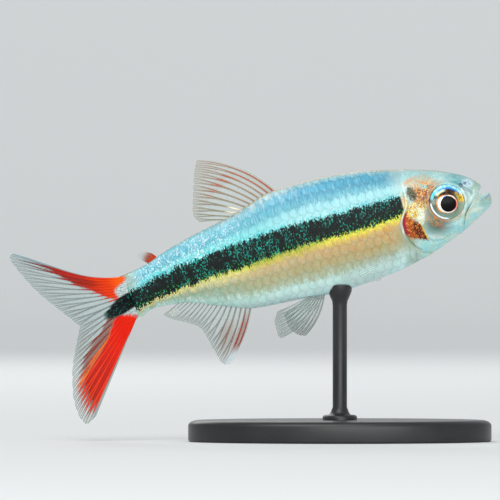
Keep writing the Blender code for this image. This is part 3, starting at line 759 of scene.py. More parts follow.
def jaw_rings():
    """Rings of the lower jaw: its flanks follow the body, tucked in where the upper jaw overlaps them."""
    table = np.array(JAW)
    rows = table[0, 0] + (table[-1, 0] - table[0, 0]) * np.linspace(0.0, 1.0, 80) ** 1.5
    rim, chin, half = (smooth_curve(table[:, 0], table[:, i], rows)[:, None] for i in (1, 2, 3))
    front = np.clip((rows - rows[0]) / JAW_FRONT, 0.004, 1.0)[:, None]
    round_front = np.sqrt(1 - (1 - front) ** 2)
    rim = JAW_LIP_HEIGHT + (rim - JAW_LIP_HEIGHT) * round_front**0.7
    chin = JAW_LIP_HEIGHT + (chin - JAW_LIP_HEIGHT) * round_front
    blend = step_up(rows, 0.004, 0.020)[:, None]
    chin = chin + (section(rows[:, None])[2] + 0.0005 - chin) * blend
    down = np.linspace(0.0, 1.0, JAW_SIDE_COLUMNS)
    above = rim + (chin - rim) * np.sin(down * np.pi / 2)
    reach = JAW_WIDEST_HEIGHT - chin
    share = np.clip((above - JAW_WIDEST_HEIGHT) / reach, -1.0, 0.0)
    own = half * np.sqrt(1 - share**2) ** BELLY_FULLNESS * STANDARD_LENGTH
    body = half_width(rows[:, None], above)
    aside = (own + (body - own) * blend) * round_front
    aside[:, -1] = 0.0
    behind = np.repeat(rows[:, None], JAW_SIDE_COLUMNS, 1)
    edge = np.array(UPPER_JAW_EDGE)
    over = above - np.interp(behind, edge[:, 0], edge[:, 1], left=1.0)
    tuck = 0.00003 + 0.00030 * step_up(over, 0.0015, 0.0080)
    lip = 0.00005 * crest(down, 0.10, 0.09) * (1 - step_up(behind, 0.012, 0.020))
    aside = np.maximum(aside - tuck * round_front + lip, 0.4 * aside)
    aside *= 1 - 0.16 * (1 - step_up(down, 0.0, 0.09)) * (1 - blend)
    across = np.linspace(-1.0, 1.0, JAW_FLOOR_COLUMNS + 2)[1:-1]
    floor_aside = aside[:, :1] * across
    sink = 0.010 * step_up(rows, rows[0] + 0.0035, rows[0] + 0.0150)[:, None]
    floor_above = rim - sink * (1 - across**4)
    ring_aside = np.concatenate([aside, -aside[:, -2::-1], floor_aside], 1)
    ring_above = np.concatenate([above, above[:, -2::-1], floor_above], 1)
    return place(rows[:, None], ring_aside, ring_above)


points, faces = capped(jaw_rings())
jaw = mesh_object("jaw_skin", points, faces)
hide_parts("lower_jaw")
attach(jaw, "root")
print("jaw faces:", len(faces))

# %% [markdown]
# ## Gill covers
# The gill cover is a thin bony plate that hinges at its front edge. Its rear edge stands free over the gill
# opening. The plate is a grid laid on the flank between a front and a rear line; it rises out of the skin in
# front and ends in a sharp step behind. A second sheet, sunk below the skin, closes it.

# %% Gill covers
GILL_COVER = (
    (0.0500, 0.1790, 0.2000),  # height, front edge, rear edge
    (0.0261, 0.1690, 0.2085),
    (-0.0052, 0.1700, 0.2285),
    (-0.0371, 0.1730, 0.2330),
    (-0.0671, 0.1740, 0.2250),
    (-0.0886, 0.1760, 0.2105),
    (-0.1000, 0.1830, 0.1990),
)
PLATE_PROUD = 0.00010
PLATE_DEPTH = 0.00038


def gill_plate(side):
    """A plate between two lines of the flank. Its height eases in from the front and drops at the rim."""
    height, front, rear = np.array(GILL_COVER).T
    rows, columns = 60, 34
    down = np.linspace(0.0, 1.0, rows)[:, None]
    share = np.linspace(0.0, 1.0, columns)[None, :]
    above = height[0] + (height[-1] - height[0]) * down
    start, end = (smooth_curve(height[::-1], line[::-1], above) for line in (front, rear))
    middle, half = (start + end) / 2, (end - start) / 2
    round_end = np.sqrt(1 - np.clip(np.abs(2 * down - 1), 0.0, 0.999) ** 8)
    behind = middle + half * round_end * (2 * share - 1)
    above = np.repeat(above, columns, 1)
    rim = np.minimum(1 - share, np.minimum(down, 1 - down) * 3)
    lift = PLATE_PROUD * step_up(share, 0.05, 0.5) * np.ones_like(down) - 0.00003
    lift = lift - 0.00016 * (1 - step_up(rim, 0.0, 0.06))
    lift += 0.00004 * crest(share, 0.93, 0.05) - 0.00002 * crest(np.sin(share * 9 + down * 2.5), 1.0, 0.3)
    width = half_width(behind, above)
    top = place(behind, side * (width + lift), above)
    under = place(behind, side * (width - PLATE_DEPTH), above)
    return sheet(top, under) if side > 0 else sheet(under, top)


cheek_plates = []
for word, side in (("left", 1), ("right", -1)):
    points, faces = gill_plate(side)
    plate = mesh_object(f"gill_plate_{word}", points, faces)
    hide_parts(f"gill_cover_{word}")
    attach(plate, "root")
    cheek_plates.append(plate)
print("gill plate faces:", len(faces))

# %% [markdown]
# ## Eyes
# A fish's eye is a clear dome over a flat iris that shines like foil. The disc is worked out in polar
# coordinates as seen from the side: it follows the head, its middle is a low dome, and a fine raised ring
# runs round its rim. The iris and the pupil are painted on it by angle and radius.

# %% Eyeballs
EYE_RINGS = 46
EYE_SIDES = 96


def eye_rings(side):
    """Rings of an eye from its middle out over the dome and the raised rim, then back into the head."""
    out = np.linspace(0.02, 1.0, EYE_RINGS)[:, None]
    turn = np.arange(EYE_SIDES) * 2 * math.pi / EYE_SIDES
    behind = EYE_AT[0] + EYE_RADIUS * out * np.cos(turn) / STANDARD_LENGTH
    above = EYE_AT[1] + EYE_RADIUS * out * np.sin(turn) / STANDARD_LENGTH
    dome = 0.00020 * (1 - out**2) - 0.00004
    rim = 0.00005 * crest(out, 0.945, 0.035) - 0.00030 * step_up(out, 0.975, 1.0)
    front = place(behind, side * (half_width(behind, above) + dome + rim), above)
    depth = half_width(*EYE_AT) - 0.0016
    shrink = np.array([0.98, 0.80, 0.45, 0.10])[:, None]
    sink = np.array([0.00, 0.55, 0.90, 1.0])[:, None]
    edge = half_width(behind[-1:], above[-1:]) - 0.0004
    wide = side * (edge + (depth - edge) * sink)
    rear_behind = EYE_AT[0] + (behind[-1:] - EYE_AT[0]) * shrink
    rear_above = EYE_AT[1] + (above[-1:] - EYE_AT[1]) * shrink
    rings = np.concatenate([front, place(rear_behind, wide, rear_above)])
    return rings if side < 0 else rings[:, ::-1]


eyeballs = []
for word, side in (("left", 1), ("right", -1)):
    points, faces = capped(eye_rings(side))
    eyeball = mesh_object(f"eyeball_{word}", points, faces)
    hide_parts(f"eye_{word}")
    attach(eyeball, "root")
    eyeballs.append(eyeball)
print("eye across (mm):", in_mm(2 * EYE_RADIUS))

# %% [markdown]
# ## Scales
# The coat is made of real scales. Each is a thin rounded plate, rooted under its neighbours in front, with
# its rear edge free. They lie in rows that follow the dark band, every second row shifted by half a scale,
# and the rows draw together towards the tail. All scales of a flank are one mesh. A scale's outline is the
# unit square turned into a disc; its place is looked up on the skin's own grid.

# %% Scale rows
BAND = (
    (0.200, 0.0305, 0.0210),  # behind, middle height, half thickness
    (0.280, 0.0280, 0.0280),
    (0.478, 0.0355, 0.0292),
    (0.641, 0.0227, 0.0326),
    (0.839, 0.0039, 0.0288),
    (0.923, -0.0122, 0.0265),
    (1.000, -0.0310, 0.0265),
)
SCALE_STEP = 0.0231
SCALE_LENGTH = 0.00232
SCALE_GRID = 7
ROW_WIDTH = ((0.18, 0.00125), (0.45, 0.00136), (0.65, 0.00124), (0.85, 0.00092), (1.0, 0.00085))
RING_COLUMNS = 2 * COLUMNS


def on_skin(behind, turn):
    """Points and normals of the skin at a distance behind the snout and a column number, between its own."""
    row = np.interp(behind, ROWS, np.arange(len(ROWS)))
    low_row = np.minimum(row.astype(int), len(ROWS) - 2)
    low_turn = np.floor(turn).astype(int)
    down, along = (row - low_row)[..., None], (turn - low_turn)[..., None]
    here, there = low_turn % RING_COLUMNS, (low_turn + 1) % RING_COLUMNS

    def between(grid):
        """The grid's values between its four nearest points."""
        near = grid[low_row, here] * (1 - along) + grid[low_row, there] * along
        far = grid[low_row + 1, here] * (1 - along) + grid[low_row + 1, there] * along
        return near * (1 - down) + far * down

    return between(skin_points), between(skin_normals)


def scale_places():
    """A flank's scales: distance behind, distance down from the back, row width and the flank's girth."""
    band = np.array(BAND)
    above, _ = skin_section(ROWS[:, None], SHARES)
    middle = smooth_curve(band[:, 0], band[:, 1], np.clip(ROWS, 0.2, 1.0))
    arc = np.linspace(0.0, 1.0, COLUMNS + 1)
    band_arc = np.array([np.interp(-m, -h, arc) for m, h in zip(middle, above)]) * GIRTH
    number, row = np.meshgrid(np.arange(40), np.arange(-12, 13), indexing="ij")
    behind = 0.196 + SCALE_STEP * (number + 0.5 * (row % 2))
    width = np.interp(behind, *np.array(ROW_WIDTH).T)
    down = np.interp(behind, ROWS, band_arc) + row * width
    girth = np.interp(behind, ROWS, GIRTH)

    def height_at(behind, down, girth):
        """Height of the skin at a distance down the flank."""
        on_flank = 0 < down < girth
        return np.interp(down / girth, arc, above[np.searchsorted(ROWS, behind)]) if on_flank else 0.0

    spots = zip(behind.ravel().clip(0.1, 0.99), down.ravel(), girth.ravel())
    height = np.array([height_at(*spot) for spot in spots])
    begun = behind.ravel() > scales_begin(height) + 0.012
    inside = (down > 0.2 * width) & (down < girth - 0.2 * width) & (behind < 0.972)
    keep = begun & inside.ravel()
    return behind.ravel()[keep], down.ravel()[keep], width.ravel()[keep], girth.ravel()[keep]


def scale_shape():
    """One scale on the unit disc: how far along and across its points are, and its upper and lower faces."""
    square = np.linspace(-1.0, 1.0, SCALE_GRID)
    x, y = np.meshgrid(square, square, indexing="ij")
    along, across = x * np.sqrt(1 - 0.42 * y**2), y * np.sqrt(1 - 0.42 * x**2)
    number = np.arange(SCALE_GRID**2).reshape(SCALE_GRID, SCALE_GRID)
    rim = np.concatenate([number[0, :-1], number[:-1, -1], number[-1, :0:-1], number[:0:-1, 0]])
    top = grid_faces(SCALE_GRID, SCALE_GRID)
    under = np.stack([np.roll(rim, -1), rim, np.full(len(rim), SCALE_GRID**2)], -1)
    return along.ravel(), across.ravel(), top, under


def scale_coat(name, side, seed):
    """All scales of a flank in one mesh, with places and tone on each scale as values, and a UV map."""
    behind, down, width, girth = scale_places()
    random = np.random.default_rng(seed)
    along, across, top, under = scale_shape()
    count = len(behind)
    along = np.append(along, 0.0)
    across = np.append(across, 0.0)
    size = random.uniform(0.96, 1.05, count)[:, None]
    length = SCALE_LENGTH / 2 * np.interp(behind, (0.2, 0.8, 1.0), (1.0, 1.0, 0.86))[:, None] * size
    half = 0.62 * width[:, None] * size
    spots = behind[:, None] + length * along / STANDARD_LENGTH
    spots = np.clip(spots, 0.19, TAIL_END)
    turn = (down[:, None] + half * across * (1 - 0.12 * along)) / girth[:, None] * COLUMNS
    base, normal = on_skin(spots, side * turn)
    tail = (along + 1) / 2
    lift = -0.00005 + 0.00009 * tail**1.25 + 0.00001 * (1 - across**2)
    lift = lift * np.interp(behind, (0.2, 0.24, 0.9, 0.99), (0.5, 1.0, 0.9, 0.6))[:, None]
    lift = lift + random.uniform(-0.000005, 0.000005, count)[:, None]
    lift[:, -1] = -0.00005
    points = base + normal * lift[..., None]
    step = np.arange(count)[:, None, None] * len(along)
    if side < 0:
        top, under = top[:, ::-1], under[:, ::-1]
    faces = (top + step).reshape(-1, 4).tolist() + (under + step).reshape(-1, 3).tolist()
    coat = mesh_object(name, points, faces)
    give_values(coat, "on_scale_x", np.tile(along, count))
    give_values(coat, "on_scale_y", np.tile(across, count))
    give_values(coat, "tone", np.repeat(random.uniform(0.0, 1.0, count), len(along)))
    unwrap = np.stack([(behind - 0.15) / 0.9, ((side * down / girth / 2) % 1.0)], -1)
    islands = unwrap[:, None] + 0.0015 * np.stack([along, across], -1)
    corner = np.empty(len(coat.data.loops), np.int32)
    coat.data.loops.foreach_get("vertex_index", corner)
    layer = coat.data.uv_layers.new(name="OFBake")
    layer.data.foreach_set("uv", islands.reshape(-1, 2)[corner].astype(np.float32).ravel())
    return coat, count


coats = []
for word, side, seed in (("left", 1, 5), ("right", -1, 6)):
    coat, count = scale_coat(f"scales_{word}", side, seed)
    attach(coat, "root")
    coats.append(coat)
print("scales on a flank:", count)

# %% [markdown]
# ## Fins
# A fin is a clear web held by bony rays. Each ray is a thin jointed rod that splits in two, and each half
# splits again, so the web's edge is carried by many fine ends. The surface runs straight from a root line to
# a tip line, with a bow and a wave. Its thickness is a thin web plus a ridge where a ray runs. The distance
# to the nearest ray folds the space between two rays twice, which gives all four branches in one formula.

# %% Fin surfaces
WEB = 0.00005
RAY_HEIGHT = 0.00010
FIRST_SPLIT = (0.38, 0.95)
SECOND_SPLIT = (0.62, 1.05)
COLUMNS_PER_RAY = 12
RIDGE_REACH = 0.30
RIDGE_THINNING = 0.20
RIDGE_TAPER = 0.65
RAYS = {"dorsal": 11, "adipose": 5, "anal": 17, "tail_lobe": 10, "pectoral": 12, "pelvic": 8}


def ray_distance(share, along, rays):
    """Distance to the nearest branch, counted in ray spacings: one fold for each splitting."""
    from_ray = np.abs(share * rays % 1.0 - 0.5)
    first = 0.25 * step_up(along, *FIRST_SPLIT)
    second = 0.125 * step_up(along, *SECOND_SPLIT)
    return np.abs(np.abs(from_ray - first) - second)


def fin_surface(roots, tips, share, along, bow, hook, wave):
    """Middle surface of a fin: root plus run times the way along, bowed ahead and waved to the side."""

    def ends(table):
        """Root or tip points for every share, on a smooth curve through the table."""
        table = np.array(table)
        behind, aside, above = (smooth_curve(table[:, 0], table[:, i], share[:, 0]) for i in (1, 2, 3))
        return level_place(behind, aside, above)[:, None]

    root, tip = ends(roots), ends(tips)
    run = tip - root
    way = along[..., None]
    ahead = np.stack([run[..., 2], 0 * run[..., 1], -run[..., 0]], -1)
    bend = (bow - bow * share)[..., None]
    crest_at = 1 / (1 + hook)
    arch = way * np.clip(1 - way, 0.0, 1.0) ** hook / (crest_at * (1 - crest_at) ** hook)
    points = root + run * way + ahead * bend * arch
    points[..., 1] += wave * np.sin(math.pi * along.clip(0.0, 1.0)) * (1 - 0.8 * share)
    return points


def fin(name, node, roots, tips, rays, bow=0.0, hook=1, wave=0.0, rows=56, thick_root=0.00022, dip=0.04):
    """A fin as one closed sheet; its share and along values tell the material where it is."""
    columns = rays * COLUMNS_PER_RAY + 1
    share = np.linspace(0.0, 1.0, columns)[:, None]
    along = -dip + (1 + dip) * np.linspace(0.0, 1.0, rows)[None, :]
    scallop = 0.012 * np.abs(2 * ((share * rays) % 1.0) - 1) ** 2
    pulled = np.where(along > 0.8, along - scallop * ((along - 0.8) / 0.2) ** 2, along)
    middle = fin_surface(roots, tips, share, pulled, bow, hook, wave)
    normal = unit(np.cross(np.gradient(middle, axis=0), np.gradient(middle, axis=1)))
    outward_share = pulled.clip(0.0, 1.0)
    ray_reach = RIDGE_REACH - RIDGE_THINNING * outward_share
    ridge = np.clip(1 - (ray_distance(share, pulled, rays) / ray_reach) ** 2, 0.0, 1.0)
    taper = 1 - RIDGE_TAPER * outward_share
    half = WEB / 2 + RAY_HEIGHT * taper * np.sqrt(ridge) + thick_root * np.exp(-(pulled + dip) / 0.07)
    half[[0, -1]] *= 0.6
    near, far = middle + normal * half[..., None], middle - normal * half[..., None]
    points, faces = sheet(in_room(near), in_room(far))
    web = mesh_object(name, points, faces)
    give_values(web, "share", np.repeat(share, 2 * rows, 1))
    give_values(web, "along", np.concatenate([pulled, pulled[:, ::-1]], 1))
    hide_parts(node)
    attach(web, "root")
    return web


dorsal_roots = [(0.0, 0.5310, 0.0, 0.1500), (1.0, 0.6700, 0.0, 0.1080)]
dorsal_tips = [  # share of the way from the first ray to the last, behind, aside, above
    (0.00, 0.7178, 0.0, 0.2883),
    (0.30, 0.7330, 0.0, 0.2560),
    (0.60, 0.7510, 0.0, 0.2000),
    (0.85, 0.7640, 0.0, 0.1500),
    (1.00, 0.7540, 0.0, 0.1270),
]
dorsal = fin(
    "dorsal_web", "dorsal_fin", dorsal_roots, dorsal_tips, RAYS["dorsal"], bow=0.10, wave=0.0004, dip=0.09
)

adipose_roots = [(0.0, 0.8840, 0.0, 0.0620), (1.0, 0.9080, 0.0, 0.0520)]
adipose_tips = [(0.0, 0.9260, 0.0, 0.0900), (0.5, 0.9360, 0.0, 0.0830), (1.0, 0.9330, 0.0, 0.0730)]
adipose = fin(
    "adipose_web", "adipose_fin", adipose_roots, adipose_tips, RAYS["adipose"], bow=0.15, rows=30, dip=0.25
)

anal_roots = [(0.0, 0.6715, 0.0, -0.1215), (0.5, 0.7680, 0.0, -0.0880), (1.0, 0.8520, 0.0, -0.0580)]
anal_tips = [
    (0.00, 0.7728, 0.0, -0.2591),
    (0.10, 0.7880, 0.0, -0.2560),
    (0.25, 0.8050, 0.0, -0.2060),
    (0.42, 0.8217, 0.0, -0.1480),
    (0.60, 0.8480, 0.0, -0.1265),
    (0.85, 0.8945, 0.0, -0.1000),
    (1.00, 0.9100, 0.0, -0.0860),
]
anal = fin("anal_web", "anal_fin", anal_roots, anal_tips, RAYS["anal"], bow=-0.06, wave=-0.0004, dip=0.12)
print("rays: dorsal", RAYS["dorsal"], "anal", RAYS["anal"])

# %% Tail fin
UPPER_CORNER = (0.9998, 0.0, 0.0418)
TAIL_MIDDLE = (0.99275, 0.0, -0.0210)
LOWER_CORNER = (0.9858, 0.0, -0.0837)
FORK = (1.1315, 0.0, -0.0586)
upper_roots = [(0.0, *UPPER_CORNER), (1.0, *TAIL_MIDDLE)]
upper_tips = [
    (0.00, 1.2560, 0.0, 0.1755),
    (0.08, 1.2655, 0.0, 0.1650),
    (0.30, 1.2456, 0.0, 0.1124),
    (0.52, 1.2150, 0.0, 0.0550),
    (0.78, 1.1719, 0.0, -0.0037),
    (1.00, *FORK),
]
lower_roots = [(0.0, *TAIL_MIDDLE), (1.0, *LOWER_CORNER)]
lower_tips = [
    (0.00, *FORK),
    (0.22, 1.1540, 0.0, -0.1040),
    (0.48, 1.1860, 0.0, -0.1800),
    (0.72, 1.1990, 0.0, -0.2560),
    (0.88, 1.1940, 0.0, -0.2980),
    (0.96, 1.1790, 0.0, -0.3147),
    (1.00, 1.1540, 0.0, -0.3030),
]
lobe = {"rays": RAYS["tail_lobe"], "rows": 80, "thick_root": 0.00030, "dip": 0.06}
swept = {"bow": -0.052, "hook": 2, "wave": 0.0006}
tail_upper = fin("tail_web_upper", "tail_fin_upper", upper_roots, upper_tips, **swept, **lobe)
tail_lower = fin("tail_web_lower", "tail_fin_lower", lower_roots, lower_tips, wave=0.0004, **lobe)
print("tail fin:", 2 * RAYS["tail_lobe"], "rays")


# %% Paired fins
def on_flank(side, table):
    """Root points of a paired fin on the flank, from (share of the rays, distance behind, height)."""
    share, behind, above = np.array(table).T
    aside = side * (half_width(behind, above) - 0.0002)
    return np.stack([share, behind, aside, above], -1).tolist()


def paired_fin(kind, word, side, roots, tips, bow):
    """One fin of a pair: rooted on the flank of its side, its tips held out to that side."""
    tips = [(share, behind, side * aside, above) for share, behind, aside, above in tips]
    roots = on_flank(side, roots)
    return fin(f"{kind}_web_{word}", f"{kind}_fin_{word}", roots, tips, RAYS[kind], bow, thick_root=0.0001)


pectoral_roots = [(0.0, 0.2480, -0.0830), (1.0, 0.2620, -0.1050)]
pectoral_tips = [
    (0.00, 0.4200, 0.0052, -0.1080),
    (0.25, 0.4230, 0.0051, -0.1200),
    (0.60, 0.3900, 0.0046, -0.1400),
    (1.00, 0.3300, 0.0038, -0.1480),
]
pelvic_roots = [(0.0, 0.4790, -0.1455), (1.0, 0.5240, -0.1400)]
near_tips = [
    (0.00, 0.6200, 0.0046, -0.2270),
    (0.20, 0.6290, 0.0044, -0.2180),
    (0.60, 0.6290, 0.0036, -0.1850),
    (1.00, 0.6150, 0.0026, -0.1560),
]
far_tips = [
    (0.00, 0.5560, 0.0048, -0.2390),
    (0.20, 0.5720, 0.0046, -0.2340),
    (0.60, 0.5950, 0.0038, -0.2050),
    (1.00, 0.6000, 0.0026, -0.1680),
]
pectorals, pelvics = [], []
for word, side, pelvic_tips in (("left", 1, far_tips), ("right", -1, near_tips)):
    pectorals.append(paired_fin("pectoral", word, side, pectoral_roots, pectoral_tips, 0.04))
    pelvics.append(paired_fin("pelvic", word, side, pelvic_roots, pelvic_tips, -0.09))
print("paired fins:", RAYS["pectoral"], "and", RAYS["pelvic"], "rays")

# %% [markdown]
# ## Stand
# A fish can't stand on the floor, so a turned rod holds it over an oval base. Both are profiles carried round
# the upright axis, as the studio floor is: a list of radii and heights, with many close steps where an edge
# is rounded. The rod ends in a small cup under the belly.

# %% Base and rod
BASE_LENGTH = 0.042
BASE_WIDTH = 0.024
BASE_THICKNESS = 0.003
BASE_EDGE = 0.0008
ROD_RADIUS = 0.0010
ROD_FOOT = 0.0024
ROD_CUP = 0.0017


def rounded_edge(radius, height, size, steps=8):
    """Part of a profile: a quarter circle from the upright side to the flat top."""
    bend = np.linspace(0.0, math.pi / 2, steps)
    return [(radius - size * (1 - math.cos(b)), height - size * (1 - math.sin(b))) for b in bend]


mount = box_middle("stand_rod")
foot_ring = [(0.4, 0.0), (0.985, 0.0), (0.997, 0.00012), (1.0, 0.0003)]
slope = BASE_EDGE / (BASE_WIDTH / 2)
edge = rounded_edge(1.0, BASE_THICKNESS, 1.0)
edge = [(1 - slope * (1 - r), BASE_THICKNESS - BASE_EDGE * (BASE_THICKNESS - h)) for r, h in edge]
flat_top = [(0.9, BASE_THICKNESS), (0.6, BASE_THICKNESS), (0.3, BASE_THICKNESS)]
base_profile = foot_ring + edge + flat_top
base_rings = turned(base_profile, mount, 128, (BASE_LENGTH / 2, BASE_WIDTH / 2))
base = mesh_object("oval_base", *capped(base_rings))
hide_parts("stand_base")
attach(base, "root")

belly = place(ROD_STATION, 0.0, section(ROD_STATION)[2])[2]
foot = BASE_THICKNESS - 0.0002
collar = rounded_edge(ROD_FOOT, foot + 0.0009, 0.0004)
waist = [(ROD_FOOT * 0.62, foot + 0.00095), (ROD_RADIUS * 1.25, foot + 0.0013), (ROD_RADIUS, foot + 0.0020)]
neck = [(1.0, -0.0024), (1.08, -0.0018), (1.35, -0.0012)]
neck = [(ROD_RADIUS * share, belly + height) for share, height in neck]
cup = [(0.96, -0.0005), (1.0, 0.0001), (1.0, 0.0004), (0.8, 0.0005)]
cup = [(ROD_CUP * share, belly + height) for share, height in cup]
rod_profile = [(ROD_FOOT, foot)] + collar + waist + neck + cup
rod = mesh_object("rod", *capped(turned(rod_profile, mount, 48)))
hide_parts("stand_rod")
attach(rod, "root")
print("rod's height (mm):", in_mm(belly - foot))

# %% [markdown]
# ## Paint of the fish
# The markings belong to places on the fish, so the paint reads them from the level fish's own axes: a Mapping
# node undoes the shift, the tilt and the scale. From the two coordinates come curves (the band's middle, back
# and belly), soft patches, and small random cells that stand for the glittering platelets in the skin.


# %% Marking tools
def fish_axes(room):
    """Distance behind the snout, height over the axis, and the level place, in shares of the length."""
    values = {
        "Vector": room,
        "Location": tuple(ORIGIN),
        "Rotation": (0.0, -NOSE_UP, 0.0),
        "Scale": (STANDARD_LENGTH,) * 3,
    }
    level = room.node("Mapping", {"vector_type": "TEXTURE"}, values)
    x = level.node("SeparateXYZ", {}, {"Vector": level}, "X")
    above = level.node("SeparateXYZ", {}, {"Vector": level}, "Z")
    return ROD_STATION - x, above, level


def patch(behind, above, at, size, turn=0.0, soft=0.4):
    """A soft oval: 1 in its middle, 0 outside. Its size is the two half axes; turn leans the first one up."""
    cos, sin = math.cos(math.radians(turn)), math.sin(math.radians(turn))
    x, y = behind - at[0], above - at[1]
    along, across = x * cos + y * sin, y * cos - x * sin
    squares = (along / size[0]) ** 2.0 + (across / size[1]) ** 2.0
    return (squares**0.5).rise(1 + soft, 1 - soft)


def stripe(value, middle, width):
    """1 on the middle value, falling softly to 0 at the width."""
    return (value - middle).size().rise(width, width * 0.35)


print("paint is read in shares of", STANDARD_LENGTH, "m")

# %% [markdown]
# ## Where a point lies on the flank
# From back to belly the flank shows a blue back, a pale strip of painted reflection, the dark band, a gold
# line, a warm flank and a pale belly. Two numbers say where a point is: `up` runs from the band's upper edge
# to the back, `down` from its lower edge to the belly. Noise on both edges makes the band ragged. A bundle
# carries all that the markings read, so that each of them can be a short function.

# %% Places and cells
PLATELET_CELLS = 250.0  # how many cells fit into the fish's length
HEAD_CELLS = 300.0
FINE_CELLS = 330.0
SMALL_CELLS = 430.0
BAND_SAG = (
    (0.20, 0.0030),  # behind, how far the dark band lies above the scale rows' middle line
    (0.28, 0.0002),
    (0.38, -0.0070),
    (0.48, -0.0105),
    (0.60, -0.0078),
    (0.70, -0.0058),
    (0.84, -0.0062),
    (0.93, -0.0044),
    (1.00, -0.0040),
)


def fish_places(room):
    """The bundle of signals that the fish's markings read."""
    behind, above, level = fish_axes(room)
    body, band, gill = np.array(BODY), np.array(BAND), np.array(GILL_EDGE)[::-1, ::-1]
    back, belly = (behind.curve(body[2:, [0, i]]) for i in (1, 2))
    middle = behind.curve(band[:, [0, 1]]) + behind.curve(BAND_SAG)
    half = behind.curve(band[:, [0, 2]])
    hatch = level.stretched((330.0, 60.0, 34.0)).noise(1.0, 1.0)
    notch = level.stretched((48.0, 20.0, 20.0)).noise(1.0, 1.0)
    fine = level.stretched((1.5, 1.0, 0.8)).cells(FINE_CELLS)
    ragged = (hatch - 0.5) * 0.018 + (notch - 0.5) * 0.012 + (fine[2] - 0.5) * 0.010
    over_band = above - middle - half + ragged
    under_band = middle - half - above + ragged
    return SimpleNamespace(
        behind=behind,
        above=above,
        level=level,
        half_width=behind.curve(body[1:, [0, 3]]),
        over_band=over_band,
        under_band=under_band,
        up=over_band / (back - middle - half),
        down=under_band / (middle - half - belly),
        head=behind.rise(0.215, 0.195),
        past_gill=behind - above.curve(gill),
        notch=notch,
        fine=fine,
        platelets=level.cells(PLATELET_CELLS)[1],
        head_cells=level.cells(HEAD_CELLS),
        small_cells=level.cells(SMALL_CELLS),
        streaks=level.stretched((90.0, 30.0, 16.0)).noise(1.0, 2.0),
        shimmer=level.stretched((260.0, 60.0, 46.0)).noise(1.0, 2.0),
    )


print("the smallest cells measure (mm):", in_mm(STANDARD_LENGTH / SMALL_CELLS))


# %% Back and flank
def back_paint(at):
    """The back: pale painted reflection over the band, blue above, silver behind, painted glint, sheen and
    sparks.
    """
    rear = at.behind.rise(0.55, 0.80)
    painted_glint = at.up.rise(0.66, 0.92) * at.behind.rise(0.42, 0.56) * at.behind.rise(0.74, 0.66)
    # The palest stops next to the band are a painted reflection of the light; the blue lies above them.
    blue_top = at.up.tinted(
        (0.0, "a6dada"),
        (0.28, "a0d6dc"),
        (0.44, "66acbc"),
        (0.60, "4e98b2"),
        (0.82, "5caecc"),
        (0.92, "9ed0d8"),
        (1.0, "d0e4e0"),
    )
    # The silver's pale start next to the band is a painted reflection too.
    silver_top = at.up.tinted((0.0, "86e2e0"), (0.5, "58aabc"), (0.9, "80c4d2"))
    # Laid over: painted glint in streaks, a grey towards the head, painted sheen, white sparks of painted
    # glint, blue platelets.
    return blue_top.under(silver_top, at.behind.rise(0.47, 0.68)).layered(
        ("dceeee", painted_glint * (0.2 + at.streaks.rise(0.42, 0.6) * 0.6)),
        ("b4d0cc", at.behind.rise(0.26, 0.21) * 0.7),
        ("cdeaf0", at.shimmer.rise(0.52, 0.66) * (0.20 + rear * 0.2)),
        ("fafeff", at.fine[0].rise(0.82, 0.90) * rear * 0.7),
        ("7cc4d6", at.platelets.rise(0.75, 0.85) * (0.15 + rear * 0.25)),
    )


def flank_paint(at):
    """Below the band: a gold line, a warm flank cooling to the rear, painted shadow behind the gill, the pale
    belly.
    """
    behind, down = at.behind, at.down
    fine_red, fine_green, _ = at.fine
    front = down.tinted(
        (0.0, "f4e848"),
        (0.05, "f2e452"),
        (0.10, "e0ca64"),
        (0.20, "c8ae80"),
        (0.42, "b6ae80"),
        (0.60, "b4c2a2"),
        (0.74, "d2f8f0"),
        (1.0, "daffff"),
    )
    rear = down.tinted((0.0, "f0e078"), (0.12, "e2da98"), (0.4, "96b094"), (1.0, "c2ece2"))
    warm = down.rise(0.75, 0.15) * down.rise(0.01, 0.15) * behind.rise(0.60, 0.26)
    warm_flecks = at.streaks.rise(0.45, 0.62) * 0.30 + at.shimmer.rise(0.50, 0.62) * 0.42
    # A painted shadow on the flank just behind the gill cover's edge.
    painted_gill_shadow = behind.rise(0.262, 0.228) * down.rise(0.10, 0.24)
    olive = down.rise(0.16, 0.02) * behind.rise(0.42, 0.50) * behind.rise(0.70, 0.62)
    flank = down.rise(0.04, 0.20) * down.rise(0.85, 0.50)
    return front.under(rear, behind.rise(0.58, 0.78)).layered(
        ("c89c44", warm * 0.40),
        ("d08634", warm_flecks * warm),
        ("94b09c", painted_gill_shadow * 0.75),
        ("84823a", olive * 0.5),
        ("54702a", olive * fine_green.rise(0.45, 0.60) * 0.55),
        ("a8aa70", at.shimmer.rise(0.48, 0.36) * flank * 0.40),
        ("dca47c", fine_red.rise(0.76, 0.86) * flank * 0.35),
        ("a8d4cc", fine_green.rise(0.80, 0.88) * flank * 0.35),
        ("e6f8f6", at.streaks.rise(0.50, 0.62) * down.rise(0.45, 0.85) * 0.5),
    )


print("deepest body (mm):", in_mm(max(row[1] - row[2] for row in BODY) * STANDARD_LENGTH))


